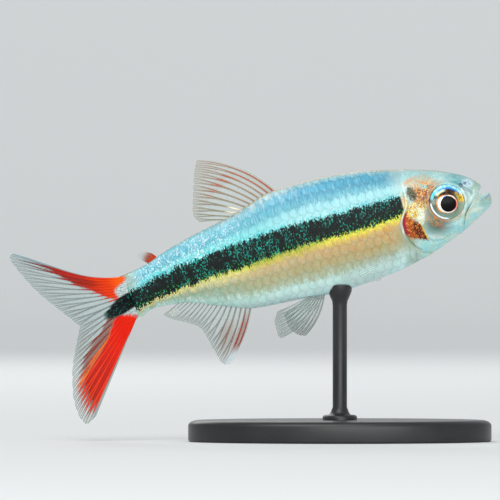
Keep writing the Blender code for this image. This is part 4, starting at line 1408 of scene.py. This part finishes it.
# %% Dark band, back ridge and scale rims
def band_paint(colour, at):
    """The dark band with its specks, its coloured fringes and its pale start; also gives where it is dark."""
    behind, over, under = at.behind, at.over_band, at.under_band
    fine_red, fine_green, fine_blue = at.fine
    inside = over.math("MAXIMUM", under)
    opening = inside.rise(0.012, -0.004) * behind.rise(0.228, 0.218)
    dark = inside.rise(0.0016, -0.0016) * behind.rise(0.217, 0.223)
    more_teal = behind.rise(0.40, 0.62) * 0.11 - behind.rise(0.80, 0.94) * 0.12 - 0.04
    teal = (fine_red + more_teal).rise(0.84, 0.92) * at.notch.rise(0.42, 0.58)
    clouds = at.level.stretched((160.0,) * 3).noise(1.0, 1.0)
    band = clouds.tinted((0.3, "020706"), (0.7, "071c19")).layered(
        ("18a896", teal * 0.9),
        ("48c8ba", fine_green.rise(0.93, 0.96) * over.rise(-0.030, -0.004) * 0.8),
        ("3fae62", fine_blue.rise(0.86, 0.92) * under.rise(-0.020, -0.003) * 0.8),
    )
    low_fringe = stripe(under, 0.000, 0.007) * behind.rise(0.90, 0.75)
    around = colour.layered(
        ("e6dcae", opening * 0.75),
        ("d8905e", opening * fine_red.rise(0.64, 0.74) * 0.8),
        ("36bcc4", stripe(over, 0.003, 0.008) * at.platelets.rise(0.35, 0.6) * 0.8),
        ("5cb84a", low_fringe * (0.20 + fine_green.rise(0.3, 0.7) * 0.6)),
    )
    return around.under(band, dark), dark


def back_ridge(at):
    """1 along the middle of the back, fraying into specks to both sides."""
    aside = at.level.node("SeparateXYZ", {}, {"Vector": at.level}, "Y").size() / at.half_width
    frayed = (aside + (at.fine[1] - 0.5) * 0.22).rise(0.30, 0.14) * (0.7 + at.fine[0] * 0.3)
    return frayed * at.above.rise(0.0, 0.02) * at.behind.rise(0.045, 0.110)


def scale_shade(x, y, tone):
    """A grey: painted shade along each scale's free rim, and some scales a little lighter than others."""
    rim = ((x * x + y * y) ** 0.5).rise(0.76, 0.98) * x.rise(-0.1, 0.5)
    value = (1 - rim * 0.15) * (tone * 0.07 + 0.965)
    return value.node("CombineColor", {}, {"Red": value, "Green": value, "Blue": value})


def body_paint(at):
    """Back and flank on either side of the band, then the tail stem's pale end, then the band itself."""
    below = (at.under_band - at.over_band).rise(-0.004, 0.004)
    colour = back_paint(at).under(flank_paint(at), below)
    return band_paint(colour.layered(("b8c6b4", at.behind.rise(0.935, 0.985) * 0.75)), at)


print("dark band at its highest (mm):", in_mm(2 * max(row[2] for row in BAND) * STANDARD_LENGTH))


# %% [markdown]
# ## Markings of the head
# The head has no scales. Its ground is a pale silver with small cells of other tints. Soft patches shade the
# cheek, brow and chin, rust freckles lie behind the eye, and gold, white and ember fields lie on the gill
# cover. A simple patch is one row of a table.


# %% Ground and shades
def spot(at, middle, size, turn=0.0, soft=0.4):
    """A soft oval on the fish."""
    return patch(at.behind, at.above, middle, size, turn, soft)


def spotted(colour, at, spots):
    """Patches laid over a colour, from a table of colour, middle, half axes, lean, softness and strength."""
    for code, middle, size, turn, soft, strength in spots:
        colour = colour.layered((code, spot(at, middle, size, turn, soft) * strength))
    return colour


CHEEK_SHADES = (
    ("4a6456", (0.147, -0.042), (0.034, 0.024), 20, 0.8, 0.92),  # cheek
    ("84826a", (0.152, -0.006), (0.015, 0.022), 0, 0.5, 0.8),  # behind the eye
)
FACE_SHADES = (
    ("86b4ac", (0.002, -0.016), (0.018, 0.014), 0, 0.6, 0.6),  # chin
    ("9cb49c", (0.020, 0.040), (0.016, 0.018), 0, 0.4, 0.6),  # snout
    ("d0a074", (0.190, 0.087), (0.017, 0.007), -20, 0.7, 0.8),  # nape
)


def head_ground(colour, at):
    """Pale silver that turns greyer at mid height, with tinted cells, washes on the face and shades."""
    above, head = at.above, at.head
    red, green, blue = at.head_cells
    wash = at.level.stretched((40.0,) * 3).noise(1.0, 2.0)
    veil = at.level.stretched((26.0, 20.0, 80.0), turn=(0.0, 0.9, 0.0)).noise(1.0, 3.0)
    lower_face = above.rise(0.000, -0.030) * head
    brow_shade = spot(at, (0.060, 0.056), (0.034, 0.014), 28, 0.6)
    silver = ((above + 0.12) / 0.24).tinted(
        (0.0, "a0e6e6"),
        (0.28, "a8dede"),
        (0.5, "aecec6"),
        (0.8, "a6d6d6"),
        (1.0, "9ed2d4"),
    )
    colour = colour.under(silver, head).layered(
        ("8fc0cc", blue.rise(0.6, 0.8) * head * 0.25),
        ("f2fbfb", red.rise(0.72, 0.82) * head * 0.42),
        ("dcc8bc", green.rise(0.74, 0.90) * head * 0.35),
        ("9ad8bc", green.rise(0.28, 0.14) * head * 0.35),
        ("dfe2bc", wash.rise(0.48, 0.66) * lower_face * 0.35),
        ("96ddea", wash.rise(0.48, 0.34) * lower_face * 0.35),
        ("e6f2ea", veil.rise(0.50, 0.64) * above.rise(0.02, -0.02) * head * 0.5),
    )
    colour = spotted(colour, at, CHEEK_SHADES)
    colour = colour.layered(("4e9ca4", brow_shade * (0.50 + wash.rise(0.40, 0.60) * 0.4)))
    return spotted(colour, at, FACE_SHADES)


print("shaded places on the head:", len(CHEEK_SHADES) + 1 + len(FACE_SHADES))


# %% Freckles behind the eye
BIG_CELLS = 190.0


def freckles_paint(colour, at):
    """Rust freckles of two sizes on a tan ground, dark veins, a mottled blotch and a few blue sparks."""
    small_red, small_green, small_blue = at.small_cells
    big_red, big_green, big_blue = at.level.cells(BIG_CELLS)
    temple = spot(at, (0.158, 0.052), (0.034, 0.036), 20, 0.5)
    crown = spot(at, (0.140, 0.070), (0.036, 0.011), 10, 0.5)
    freckles = temple.math("MAXIMUM", crown * 0.35)
    ground = at.above.rise(0.035, 0.075).tinted((0.0, "8e5630"), (0.5, "a57c4c"), (1.0, "c2ac7c"))
    veins = at.level.stretched((60.0,) * 3, turn=(0.0, 0.6, 0.0)).noise(1.6, 3.0)
    on_cheek = spot(at, (0.150, -0.030), (0.034, 0.014), 22, 0.5)
    below_eye = spot(at, (0.128, -0.048), (0.020, 0.012))
    colour = colour.under(ground, freckles * 0.85).layered(
        ("8a3c22", freckles * stripe(veins, 0.5, 0.035) * at.above.rise(0.085, 0.055) * 0.9),
        ("6e3420", freckles * big_green.rise(0.70, 0.78) * at.above.rise(0.080, 0.060) * 0.75),
        ("e0872c", freckles * big_red.rise(0.62, 0.70) * 0.85),
        ("f2b45c", freckles * small_red.rise(0.80, 0.88) * 0.7),
        ("7e3a20", freckles * small_green.rise(0.80, 0.88) * 0.7),
        ("ecdcae", freckles * small_blue.rise(0.84, 0.92) * 0.7),
        ("e08a34", on_cheek * small_blue.rise(0.74, 0.82)),
        ("c0604c", below_eye * small_red.rise(0.74, 0.84) * 0.7),
    )
    blotch = spot(at, (0.190, 0.055), (0.012, 0.020), -10, 0.6)
    mottled = (blotch + (big_blue - 0.5) * 0.45 + (small_red - 0.5) * 0.35).rise(0.42, 0.85)
    mottle = small_green.tinted((0.3, "26321f"), (0.6, "4a5a3c"), (0.9, "6a5636"))
    sparks = spot(at, (0.158, 0.067), (0.018, 0.006), 32, 0.5) * small_green.rise(0.55, 0.65)
    return colour.under(mottle, mottled * 0.9).layered(("5ad4dc", sparks * 0.85))


print("largest freckles (mm):", in_mm(STANDARD_LENGTH / BIG_CELLS))


# %% Fields of the gill cover
EMBER_CORNER = (0.1860, -0.0310)
EMBER_FOOT = (0.1768, -0.0757)
TOP_SLOPE = 0.884
FRONT_LEAN = 0.2058
FOOT_SLOPE = 0.391


def gill_fields(colour, at):
    """Gold above, white in front, and an ember field whose borders are straight lines through two corners."""
    behind, above, past = at.behind, at.above, at.past_gill
    red, _, blue = at.head_cells
    small_red, small_green, small_blue = at.small_cells
    gold = spot(at, (0.190, 0.008), (0.020, 0.026), 70, 0.4)
    white = spot(at, (0.1815, -0.014), (0.009, 0.023), 18, 0.3)
    frayed = (small_red - 0.5) * 0.005
    x, y = behind - EMBER_CORNER[0], above - EMBER_CORNER[1]
    low_x, low_y = behind - EMBER_FOOT[0], above - EMBER_FOOT[1]
    behind_front = x - y * FRONT_LEAN
    ember = (y - x * TOP_SLOPE + frayed).rise(0.006, -0.004) * behind_front.rise(-0.003, 0.002)
    ember = ember * (low_y - low_x * FOOT_SLOPE + frayed).rise(-0.006, 0.004) * past.rise(-0.004, -0.010)
    rear = past.rise(-0.036, -0.018)
    front_edge = stripe(behind_front, 0.0, 0.0028)
    front_edge = front_edge * above.rise(-0.080, -0.072) * above.rise(-0.018, -0.028)
    colour = colour.layered(
        ("c89630", gold * 0.85),
        ("ecd658", gold * small_red.rise(0.45, 0.6)),
        ("b4521e", gold * small_green.rise(0.78, 0.86)),
        ("d2eee0", gold * small_blue.rise(0.76, 0.84)),
        ("c4d8c4", white * 0.6),
        ("f4fffa", white * small_red.rise(0.45, 0.6)),
        ("f2dc6a", white * small_green.rise(0.80, 0.88)),
    )
    rust = rear.tinted((0.0, "5a2214"), (0.5, "84361c"), (1.0, "a8401e"))
    return colour.under(rust, ember).layered(
        ("c4561a", ember * (small_green + rear * 0.15).rise(0.66, 0.74)),
        ("f0a83e", ember * (small_blue + rear * 0.12).rise(0.86, 0.92)),
        ("2f120c", ember * (blue - rear * 0.25).rise(0.56, 0.66) * 0.85),
        ("f6d05a", front_edge * (0.5 + red * 0.5)),
    )


def gill_line(colour, at):
    """The gill cover's pale edge, with crimson before it, shade below it and gold where it meets the band."""
    above, past = at.above, at.past_gill
    span = above.rise(0.016, 0.004) * above.rise(-0.056, -0.044)
    line = stripe(past, 0.0012, 0.0037) * above.rise(-0.075, -0.030)
    shade = past.rise(-0.008, 0.000) * past.rise(0.014, 0.004) * above.rise(-0.040, -0.060)
    warm = line * above.rise(0.015, 0.03) * above.rise(0.055, 0.045)
    return colour.layered(
        ("a4203a", stripe(past, -0.0058, 0.0058) * span),
        ("e2f2ec", line * above.rise(0.10, 0.055) * 0.85),
        ("a9b79c", shade * 0.6),
        ("f4dc8a", warm * at.head_cells[1].rise(0.3, 0.6)),
    )


print("front corner of the ember field (mm behind the snout):", in_mm(EMBER_CORNER[0] * STANDARD_LENGTH))


# %% Snout, mouth and eye rim
FACE_SPOTS = (
    ("eefcff", (0.062, 0.020), (0.014, 0.006), -60, 0.5, 0.7),  # painted highlight before the eye
    ("7f9299", (0.046, 0.028), (0.018, 0.005), 45, 0.5, 0.7),  # under the nostrils
)
EYE_ARC = 0.0500
CHIN_SPOTS = (
    ("3f7fd0", (-0.0035, -0.0050), (0.011, 0.0016), -30, 0.5, 0.6),  # blue line of the lip
    ("d98a5a", (-0.0025, -0.0095), (0.010, 0.0020), -30, 0.4, 0.45),  # warm line under it
)


def face_paint(colour, at):
    """A nose of painted highlight with blue specks, painted shade in the nostrils, the mouth's fold, a rust
    arc under the eye.
    """
    behind, above = at.behind, at.above
    # The nose's pale patch is a painted highlight; its blue specks are the skin's own.
    nose = spot(at, (0.037, 0.043), (0.015, 0.011), 25)
    colour = colour.layered(("dcf2f6", nose * 0.8), ("5f9ccc", nose * at.small_cells[2].rise(0.78, 0.86)))
    colour = spotted(colour, at, FACE_SPOTS)
    # Painted shade in each nostril's pit.
    for x, y, radius in NOSTRILS:
        nostril_shade = spot(at, (x, y), (radius / STANDARD_LENGTH,) * 2, 0, 0.3)
        colour = colour.layered(("6f8a96", nostril_shade * 0.8))
    mouth = above - behind.curve(UPPER_JAW_EDGE[2:])
    crease = stripe(mouth, -0.002, 0.006) * behind.rise(0.078, 0.060) * behind.rise(0.010, 0.016)
    colour = spotted(colour.layered(("c9b08c", crease * 0.3)), at, CHIN_SPOTS)
    x, y = behind - EYE_AT[0], above - EYE_AT[1]
    from_eye = (x**2.0 + y**2.0) ** 0.5
    below_eye = (y - x * 0.5).rise(-0.005, -0.030)
    return colour.layered(("c4803c", stripe(from_eye, EYE_ARC, 0.0022) * below_eye * 0.75))


print("rust arc under the eye, distance from its middle (mm):", in_mm(EYE_ARC * STANDARD_LENGTH))


# %% The skin's material
def fish_finish(name):
    """The living colour of the skin: markings on a wet, faintly metallic surface."""
    material, shader, room = new_material(name)
    at = fish_places(room)
    colour, dark = body_paint(at)
    x, y, tone = (room.read(value) for value in ("on_scale_x", "on_scale_y", "tone"))
    # Painted shade along the scales' free rims, and their random tones.
    colour = colour.shaded(scale_shade(x, y, tone))
    for markings in (head_ground, freckles_paint, gill_fields, gill_line, face_paint):
        colour = markings(colour, at)
    grain = at.level.noise(420.0, 2.0)
    values = {
        "Base Color": colour.layered(("a08646", back_ridge(at))),
        "Metallic": (1 - dark) * 0.22,
        "Roughness": 0.36 + grain * 0.16,
        "Coat Weight": (1 - dark) * 0.22,
        "Coat Roughness": 0.15,
        "Specular IOR Level": 0.2,
        "Normal": bumped(grain, 0.25, 0.00006),
    }
    feed(shader, values)
    return material


silver_skin = fish_finish("silver_skin")
golden_cheek = fish_finish("golden_cheek")
for piece in (skin, jaw, *coats):
    piece.data.materials.append(silver_skin)
for piece in cheek_plates:
    piece.data.materials.append(golden_cheek)
print("nodes in the skin's material:", len(silver_skin.node_tree.nodes))

# %% [markdown]
# ## Paint of the eye
# The iris is foil under glass: bright arcs in blue, white and gold round a black pupil that sits a little
# forward and low. Radius and angle are worked out from the distance to the eye's middle, and every arc is a
# stripe in radius times a span in angle. A clear coat gives the wet dome its sharp highlight, and a cyan
# crescent along the top of the iris is a painted reflection.


# %% Places on the eye
PUPIL_AT = (0.060, -0.115)  # ahead of the eye's middle and above it, in shares of its radius


def eye_places(room):
    """The eye's middle is the origin and its radius the unit; angles are counted from the picture's right."""
    behind, above, level = fish_axes(room)
    zoom = STANDARD_LENGTH / EYE_RADIUS
    ahead, up = (EYE_AT[0] - behind) * zoom, (above - EYE_AT[1]) * zoom
    cos, sin = math.cos(NOSE_UP), math.sin(NOSE_UP)
    x, y = ahead * cos - up * sin, ahead * sin + up * cos
    pupil_x, pupil_y = x - PUPIL_AT[0], y - PUPIL_AT[1]
    return SimpleNamespace(
        x=x,
        y=y,
        radius=(x * x + y * y) ** 0.5,
        angle=y.math("ARCTAN2", x) * (180 / math.pi),
        from_pupil=(pupil_x * pupil_x + pupil_y * pupil_y) ** 0.5,
        fibres=level.stretched((90.0,) * 3).noise(3.0, 2.0),
        cells=level.cells(FINE_CELLS),
    )


def arc(ring, angle, middle, width, low, high, soft):
    """1 on a stretch of a ring: a stripe in radius times a span between two angles in degrees."""
    span = angle.rise(low - soft, low + soft) * angle.rise(high + soft, high - soft)
    return stripe(ring, middle, width) * span


print("pupil's middle (mm ahead of the eye's):", in_mm(PUPIL_AT[0] * EYE_RADIUS))


# %% Iris and pupil
def iris_paint(eye):
    """Green-grey foil, fibres, arcs of brown, gold, pale yellow, blue and cyan, and a painted reflection on
    top.
    """
    red, green, _ = eye.cells
    brown = arc(eye.radius, eye.angle, 0.60, 0.34, 48, 150, 14)
    gold = arc(eye.radius, eye.angle, 0.80, 0.24, 2, 50, 8)
    pale = arc(eye.radius, eye.angle, 0.72, 0.15, 102, 150, 8)
    # The cyan crescent along the iris's top, with whiter cells in it, is a painted reflection.
    cyan = arc(eye.radius, eye.angle, 0.95, 0.17, 30, 165, 14)
    return eye.fibres.tinted((0.3, "3e5046"), (0.7, "5f7468")).layered(
        ("84a08e", eye.y.rise(-0.25, -0.75) * 0.8),
        ("94a48e", eye.x.rise(0.45, 0.8)),
        ("2b1a10", brown),
        ("6b4a20", brown * red.rise(0.65, 0.8) * 0.7),
        ("f0c02c", gold),
        ("7a5a16", gold * green.rise(0.70, 0.8)),
        ("cfeadc", pale),
        ("e6cf4a", pale * red.rise(0.5, 0.7)),
        ("1c86dc", arc(eye.radius, eye.angle, 0.84, 0.15, 42, 140, 14)),
        ("7cd8e4", cyan),
        ("dcf8f8", cyan * red.rise(0.66, 0.80)),
        ("58cdec", arc(eye.radius, eye.angle, 0.90, 0.13, 140, 168, 8)),
    )


def pupil_paint(colour, eye):
    """The black pupil in an amber and a white ring that are wider behind, with a red and a blue flare."""
    left = eye.x.rise(0.0, -0.55)
    flare = stripe(eye.from_pupil, 0.455, 0.045) * (eye.x - eye.y).rise(0.10, 0.35)
    return colour.layered(
        ("f08a24", (eye.from_pupil - left * 0.145).rise(0.530, 0.510)),
        ("fbf8ee", (eye.from_pupil - left * 0.095).rise(0.505, 0.490)),
        ("f24a12", flare * eye.y.rise(-0.50, -0.35)),
        ("3f8fe8", arc(eye.from_pupil, eye.angle, 0.45, 0.05, 85, 140, 12)),
        ("020202", eye.from_pupil.rise(0.455, 0.435)),
        ("f4fafa", stripe(eye.radius, 0.935, 0.075) * (eye.x * 0.8 + eye.y).rise(-0.76, -0.96)),
        ("d98a4a", eye.radius.rise(0.975, 0.99) * eye.y.rise(-0.2, -0.5) * 0.8),
    )


def eye_finish():
    """The painted iris and pupil under a clear wet coat."""
    material, shader, room = new_material("eye")
    eye = eye_places(room)
    values = {
        "Base Color": pupil_paint(iris_paint(eye), eye),
        "Metallic": eye.from_pupil.rise(0.42, 0.44) * 0.30,
        "Roughness": 0.22 + eye.fibres * 0.1,
        "Coat Weight": 0.04 + eye.from_pupil.rise(0.42, 0.50) * 0.7,
        "Coat Roughness": 0.03,
        "Specular IOR Level": 0.1,
    }
    feed(shader, values)
    return material


eye_material = eye_finish()
for piece in eyeballs:
    piece.data.materials.append(eye_material)
print("nodes in the eye's material:", len(eye_material.node_tree.nodes))

# %% [markdown]
# ## Paint of the fins
# The web is almost clear, so it lets the light through, while the rays are thin lines of bone. Both are told
# apart by the same folded distance as in the mesh, here written with signals, which stays sharp between grid
# points. The red of the tail lobes lies on web and rays alike and is nearly solid at the root.


# %% Fin finish
RAY_REACH = 0.30
RAY_THINNING = 0.22
JOINTS = 46.0


def ray_mask(share, along, rays):
    """1 on the rays and their branches, 0 on the web."""
    from_ray = ((share * rays).math("FRACT") - 0.5).size()
    first = along.rise(*FIRST_SPLIT) * 0.25
    second = along.rise(*SECOND_SPLIT) * 0.125
    distance = ((from_ray - first).size() - second).size()
    reach = RAY_REACH - along.math("MAXIMUM", 0.0) ** 0.6 * RAY_THINNING
    return distance.rise(reach, reach * 0.5)


def fin_finish(name, rays, dress):
    """A fin's material; dress gives colour and opacity from a bundle of the fin's signals."""
    material, shader, room = new_material(name)
    at = SimpleNamespace(share=room.read("share"), along=room.read("along"), level=fish_axes(room)[2])
    at.ray = ray_mask(at.share, at.along, rays)
    at.grain = at.level.noise(260.0, 2.0)
    colour, alpha = dress(at)
    joint = ((at.along * JOINTS).math("FRACT") - 0.5).size().rise(0.12, 0.04)
    joints = joint * at.ray * at.along.rise(0.3, 0.4)
    values = {
        "Base Color": colour.layered(("5a5148", joints * 0.35)),
        "Alpha": alpha,
        "Roughness": 0.34 + at.grain * 0.2,
        "Coat Weight": 0.08,
        "Coat Roughness": 0.15,
        "Specular IOR Level": 0.12,
        "Normal": bumped(at.ray, 0.3, 0.00005),
    }
    feed(shader, values)
    return material


print("joints along a ray:", JOINTS)


# %% Clear fins and adipose fin
def dress_dorsal(at):
    """Clear, with a rusty flush that sweeps from the front of the root to the rear, and a pale spot."""
    share, along, ray, grain = at.share, at.along, at.ray, at.grain
    bone = share.tinted((0.0, "aa8468"), (0.35, "a08a6e"), (1.0, "8c8a70"))
    middle = along.curve([(0.0, 0.0), (0.2, 0.03), (0.45, 0.12), (0.65, 0.36), (0.8, 0.62), (1.0, 0.9)])
    flush = stripe(share, middle, 0.20) * along.rise(-0.05, 0.08) * along.rise(0.85, 0.65)
    bright = patch(share, along, (0.72, 0.22), (0.07, 0.14), 0, 0.5)
    colour = grain.tinted((0.3, "9fb8ae"), (0.7, "b9ccc2")).under(bone, ray).layered(
        ("b85a38", flush * (0.15 + ray * 0.65)),
        ("fbf3da", bright * ray),
    )
    fade = along.rise(1.0, 0.55)
    return colour, 0.14 + ray * (0.26 + fade * 0.34) + flush * 0.12 + bright * ray * 0.3


def dress_anal(at):
    """Clear, with a red streak along the front ray, a faint flush behind it and a white tip."""
    share, along, ray, grain = at.share, at.along, at.ray, at.grain
    bone = share.tinted((0.0, "7c6c62"), (0.3, "6f7f78"), (1.0, "74867e"))
    faint = patch(share, along, (0.20, 0.58), (0.07, 0.26), 0, 0.6)
    streak = patch(share, along, (0.065, 0.50), (0.055, 0.34), 0, 0.45)
    tip = share.rise(0.13, 0.07) * along.rise(0.62, 0.85)
    flecks = patch(share, along, (0.88, 0.70), (0.07, 0.20), 0, 0.4) * ray * grain.rise(0.45, 0.6)
    colour = grain.tinted((0.3, "96b6aa"), (0.7, "aec8be")).under(bone, ray).layered(
        ("8c5034", faint * 0.6),
        ("a02a10", streak * (0.6 + ray * 0.4)),
        ("e2f2fa", tip * (0.5 + ray * 0.5)),
        ("f0efe0", flecks),
    )
    thin = along.rise(0.45, 1.0) * 0.16
    return colour, 0.13 + ray * (0.40 - thin) + streak * 0.40 + faint * 0.15 + tip * 0.25 + flecks * 0.3


def dress_adipose(at):
    """Red and nearly solid at the root, clear at the edge."""
    colour = at.along.tinted((0.1, "cc3c12"), (0.5, "a44a2c"), (0.9, "8fae9e"))
    return colour, at.along.curve([(0.0, 0.95), (0.35, 0.80), (0.7, 0.2), (1.0, 0.06)]) + at.grain * 0.04


def dress_pelvic(at):
    """Clear, with grey rays."""
    colour = at.grain.tinted((0.3, "9fb8b0"), (0.7, "b6cac4")).layered(("7c8c86", at.ray))
    return colour, 0.14 + at.ray * 0.42


def dress_pectoral(at):
    """Clearer than the others, with pale rays."""
    colour = at.grain.tinted((0.3, "d2dcd8"), (0.7, "e2e9e6")).layered(("b8c2bc", at.ray))
    return colour, 0.04 + at.ray * 0.16


print("a ray's half width at the root, in ray spacings:", RAY_REACH)

# %% Tail lobes
UPPER_FLAME_LOW = (  # along the lobe, how far across it the edge of the red lies
    (0.0, 1.05),
    (0.19, 0.98),
    (0.27, 0.80),
    (0.35, 0.55),
    (0.48, 0.38),
    (0.6, 0.20),
    (0.75, 0.11),
    (1.0, 0.04),
)
UPPER_FLAME_HIGH = ((0.0, -0.05), (0.45, -0.02), (0.7, 0.03), (1.0, 0.05))
LOWER_FLAME = ((0.0, 0.22), (0.25, 0.27), (0.36, 0.46), (0.5, 0.53), (0.72, 0.57), (1.0, 0.62))
LOWER_DUSK = ((0.0, 0.0), (0.3, 0.06), (0.42, 0.17), (0.52, 0.29), (0.68, 0.35), (0.8, 0.43), (1.0, 0.60))
UPPER_FLESH = ((0.0, -0.06), (0.25, -0.03), (0.45, 0.06), (0.65, 0.11), (1.0, 0.10))
UPPER_SOOT = ((0.0, -0.3), (0.70, -0.15), (0.84, 0.10), (0.93, 0.24), (1.0, 0.36))
LOWER_FLESH = ((0.0, 0.30), (0.23, 0.27), (0.37, 0.14), (0.52, 0.05), (0.92, -0.04), (1.0, -0.06))
LOWER_SOOT = ((0.0, 0.44), (0.10, 0.45), (0.24, 0.32), (0.40, 0.08), (0.55, -0.10), (1.0, -0.3))


def lobe_web(at, bone):
    """A lobe's clear web with its rays in bone, and how solid both are."""
    colour = at.grain.tinted((0.3, "84a8a6"), (0.7, "9cbcb8")).under(bone, at.ray)
    return colour, 0.22 + at.ray * (0.32 - at.along.rise(0.5, 1.0) * 0.14)


def root_flesh(colour, at, flesh_ends, soot_ends):
    """Silver flesh laid over a lobe's root, then the sooty end of the dark band; gives the masks of both."""
    ragged = at.along - (at.grain - 0.5) * 0.08
    flesh = (ragged - at.share.curve(flesh_ends)).rise(0.03, -0.03)
    soot = (ragged - at.share.curve(soot_ends)).rise(0.07, -0.05)
    red, green, _ = at.level.cells(FINE_CELLS)
    silver = red.rise(0.1, 0.9).tinted((0.0, "a2b4b2"), (1.0, "ccdad8"))
    specks = green.rise(0.88, 0.93)
    return colour.under(silver, flesh).layered(("0c1012", soot), ("1f9c84", specks * soot * 0.4)), flesh, soot


def dress_upper_lobe(at):
    """A flame of red between two edges, darker between the rays, with a clear margin in front."""
    share, along, ray, grain = at.share, at.along, at.ray, at.grain
    bone = share.tinted((0.0, "6d8a94"), (0.2, "7a8782"), (1.0, "66767a"))
    colour, clear = lobe_web(at, bone)
    wild = (grain - 0.5) * 0.16 + (ray - 0.5) * (0.10 + along.rise(0.45, 0.15) * 0.25)
    below_edge = (share - along.curve(UPPER_FLAME_LOW) - wild).rise(0.06, -0.06)
    flame = below_edge * (share - along.curve(UPPER_FLAME_HIGH)).rise(-0.02, 0.03)
    flame = flame * (along - wild).rise(0.92, 0.68)
    between_rays = stripe(share, 0.24, 0.14) * along.rise(0.12, 0.30) * (1 - ray)
    red = along.tinted((0.0, "fa6008"), (0.14, "e03800"), (0.4, "b01800"), (0.8, "701000"))
    red = red.layered(("701200", between_rays * 0.6))
    margin = share.rise(0.030, 0.008) * along.rise(0.10, 0.3)
    colour = colour.under(red, flame).layered(("86a8b0", margin))
    colour, flesh, soot = root_flesh(colour, at, UPPER_FLESH, UPPER_SOOT)
    alpha = clear + flame * (0.84 - along * 0.20) + margin * 0.30 + soot * 0.75 + flesh * 0.75
    return colour, alpha


def dress_lower_lobe(at):
    """Red on the rear half with an orange seam along its edge, a dusky flush before it, a clear margin."""
    share, along, ray, grain = at.share, at.along, at.ray, at.grain
    bone = share.tinted((0.0, "6a7a7a"), (0.35, "74746a"), (1.0, "7c7a70"))
    colour, clear = lobe_web(at, bone)
    edge = along.curve(LOWER_FLAME)
    wild = (grain - 0.5) * 0.10 + (ray - 0.5) * 0.06
    flame = (share - edge + wild).rise(-0.05, 0.05) * (along - wild + share * 0.05).rise(0.98, 0.84)
    red = along.tinted((0.0, "e82400"), (0.25, "dc1400"), (0.6, "b81400"), (0.9, "902008"))
    seam = stripe(share, edge + 0.02, 0.045) * along.rise(0.25, 0.40) * along.rise(0.98, 0.80)
    dusk = (share - along.curve(LOWER_DUSK) + wild).rise(-0.03, 0.05) * (1 - flame) * along.rise(0.92, 0.75)
    margin = share.rise(0.965, 0.99) * along.rise(0.08, 0.2)
    colour = colour.under(red, flame).layered(
        ("f43c14", flame * ray * along.rise(0.1, 0.35) * 0.7),
        ("f47a1c", seam * 0.8),
        ("84321a", dusk * (0.85 + ray * 0.15)),
        ("8fa6a4", margin),
    )
    colour, flesh, soot = root_flesh(colour, at, LOWER_FLESH, LOWER_SOOT)
    alpha = clear + flame * 0.76 + seam * 0.2 + dusk * 0.38 + soot * 0.75 + flesh * 0.75 + margin * 0.25
    return colour, alpha


print("points on the edges of the red flames:", len(UPPER_FLAME_LOW + UPPER_FLAME_HIGH + LOWER_FLAME))

# %% Fin materials
finishes = (
    ("dorsal_fin_clear", "dorsal", dress_dorsal, "clear_fin", [dorsal]),
    ("anal_fin_clear", "anal", dress_anal, "clear_fin", [anal]),
    ("adipose_fin_red", "adipose", dress_adipose, "red_fin", [adipose]),
    ("tail_upper_red", "tail_lobe", dress_upper_lobe, "red_fin", [tail_upper]),
    ("tail_lower_red", "tail_lobe", dress_lower_lobe, "red_fin", [tail_lower]),
    ("pelvic_fin_clear", "pelvic", dress_pelvic, "clear_fin", pelvics),
    ("pectoral_fin_clear", "pectoral", dress_pectoral, "clear_fin", pectorals),
)
for name, kind, dress, slot, pieces in finishes:
    made = fin_finish(name, RAYS[kind], dress)
    for piece in pieces:
        piece.data.materials.append(made)
print("fin materials:", len(finishes))

# %% [markdown]
# ## Finish of the stand
# The stand is turned metal with a satin black coat. It stays quiet, so that the eye goes to the fish: a very
# fine grain in the gloss, and wide faint smudges such as handling leaves.


# %% Stand's finish
def stand_finish():
    """Satin black with fine grain and faint smudges."""
    material, shader, room = new_material("stand")
    grain = room.noise(9000.0, 2.0)
    smudge = room.noise(160.0, 3.0)
    values = {
        "Base Color": smudge.tinted((0.35, "121314"), (0.7, "1c1d1f")),
        "Roughness": 0.30 + grain * 0.10 + smudge * 0.14,
        "Coat Weight": 0.2,
        "Coat Roughness": 0.25,
        "Normal": bumped(grain, 0.12, 0.00003),
    }
    feed(shader, values)
    return material


stand_material = stand_finish()
for piece in (base, rod):
    piece.data.materials.append(stand_material)
print("nodes in the stand's material:", len(stand_material.node_tree.nodes))

# %% Sizes
new_box = [list(corner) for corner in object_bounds()]
for axis, low, high, new_low, new_high in zip("xyz", *cad_box, *new_box):
    print(axis, "CAD (mm):", in_mm(low), in_mm(high), "new:", in_mm(new_low), in_mm(new_high))
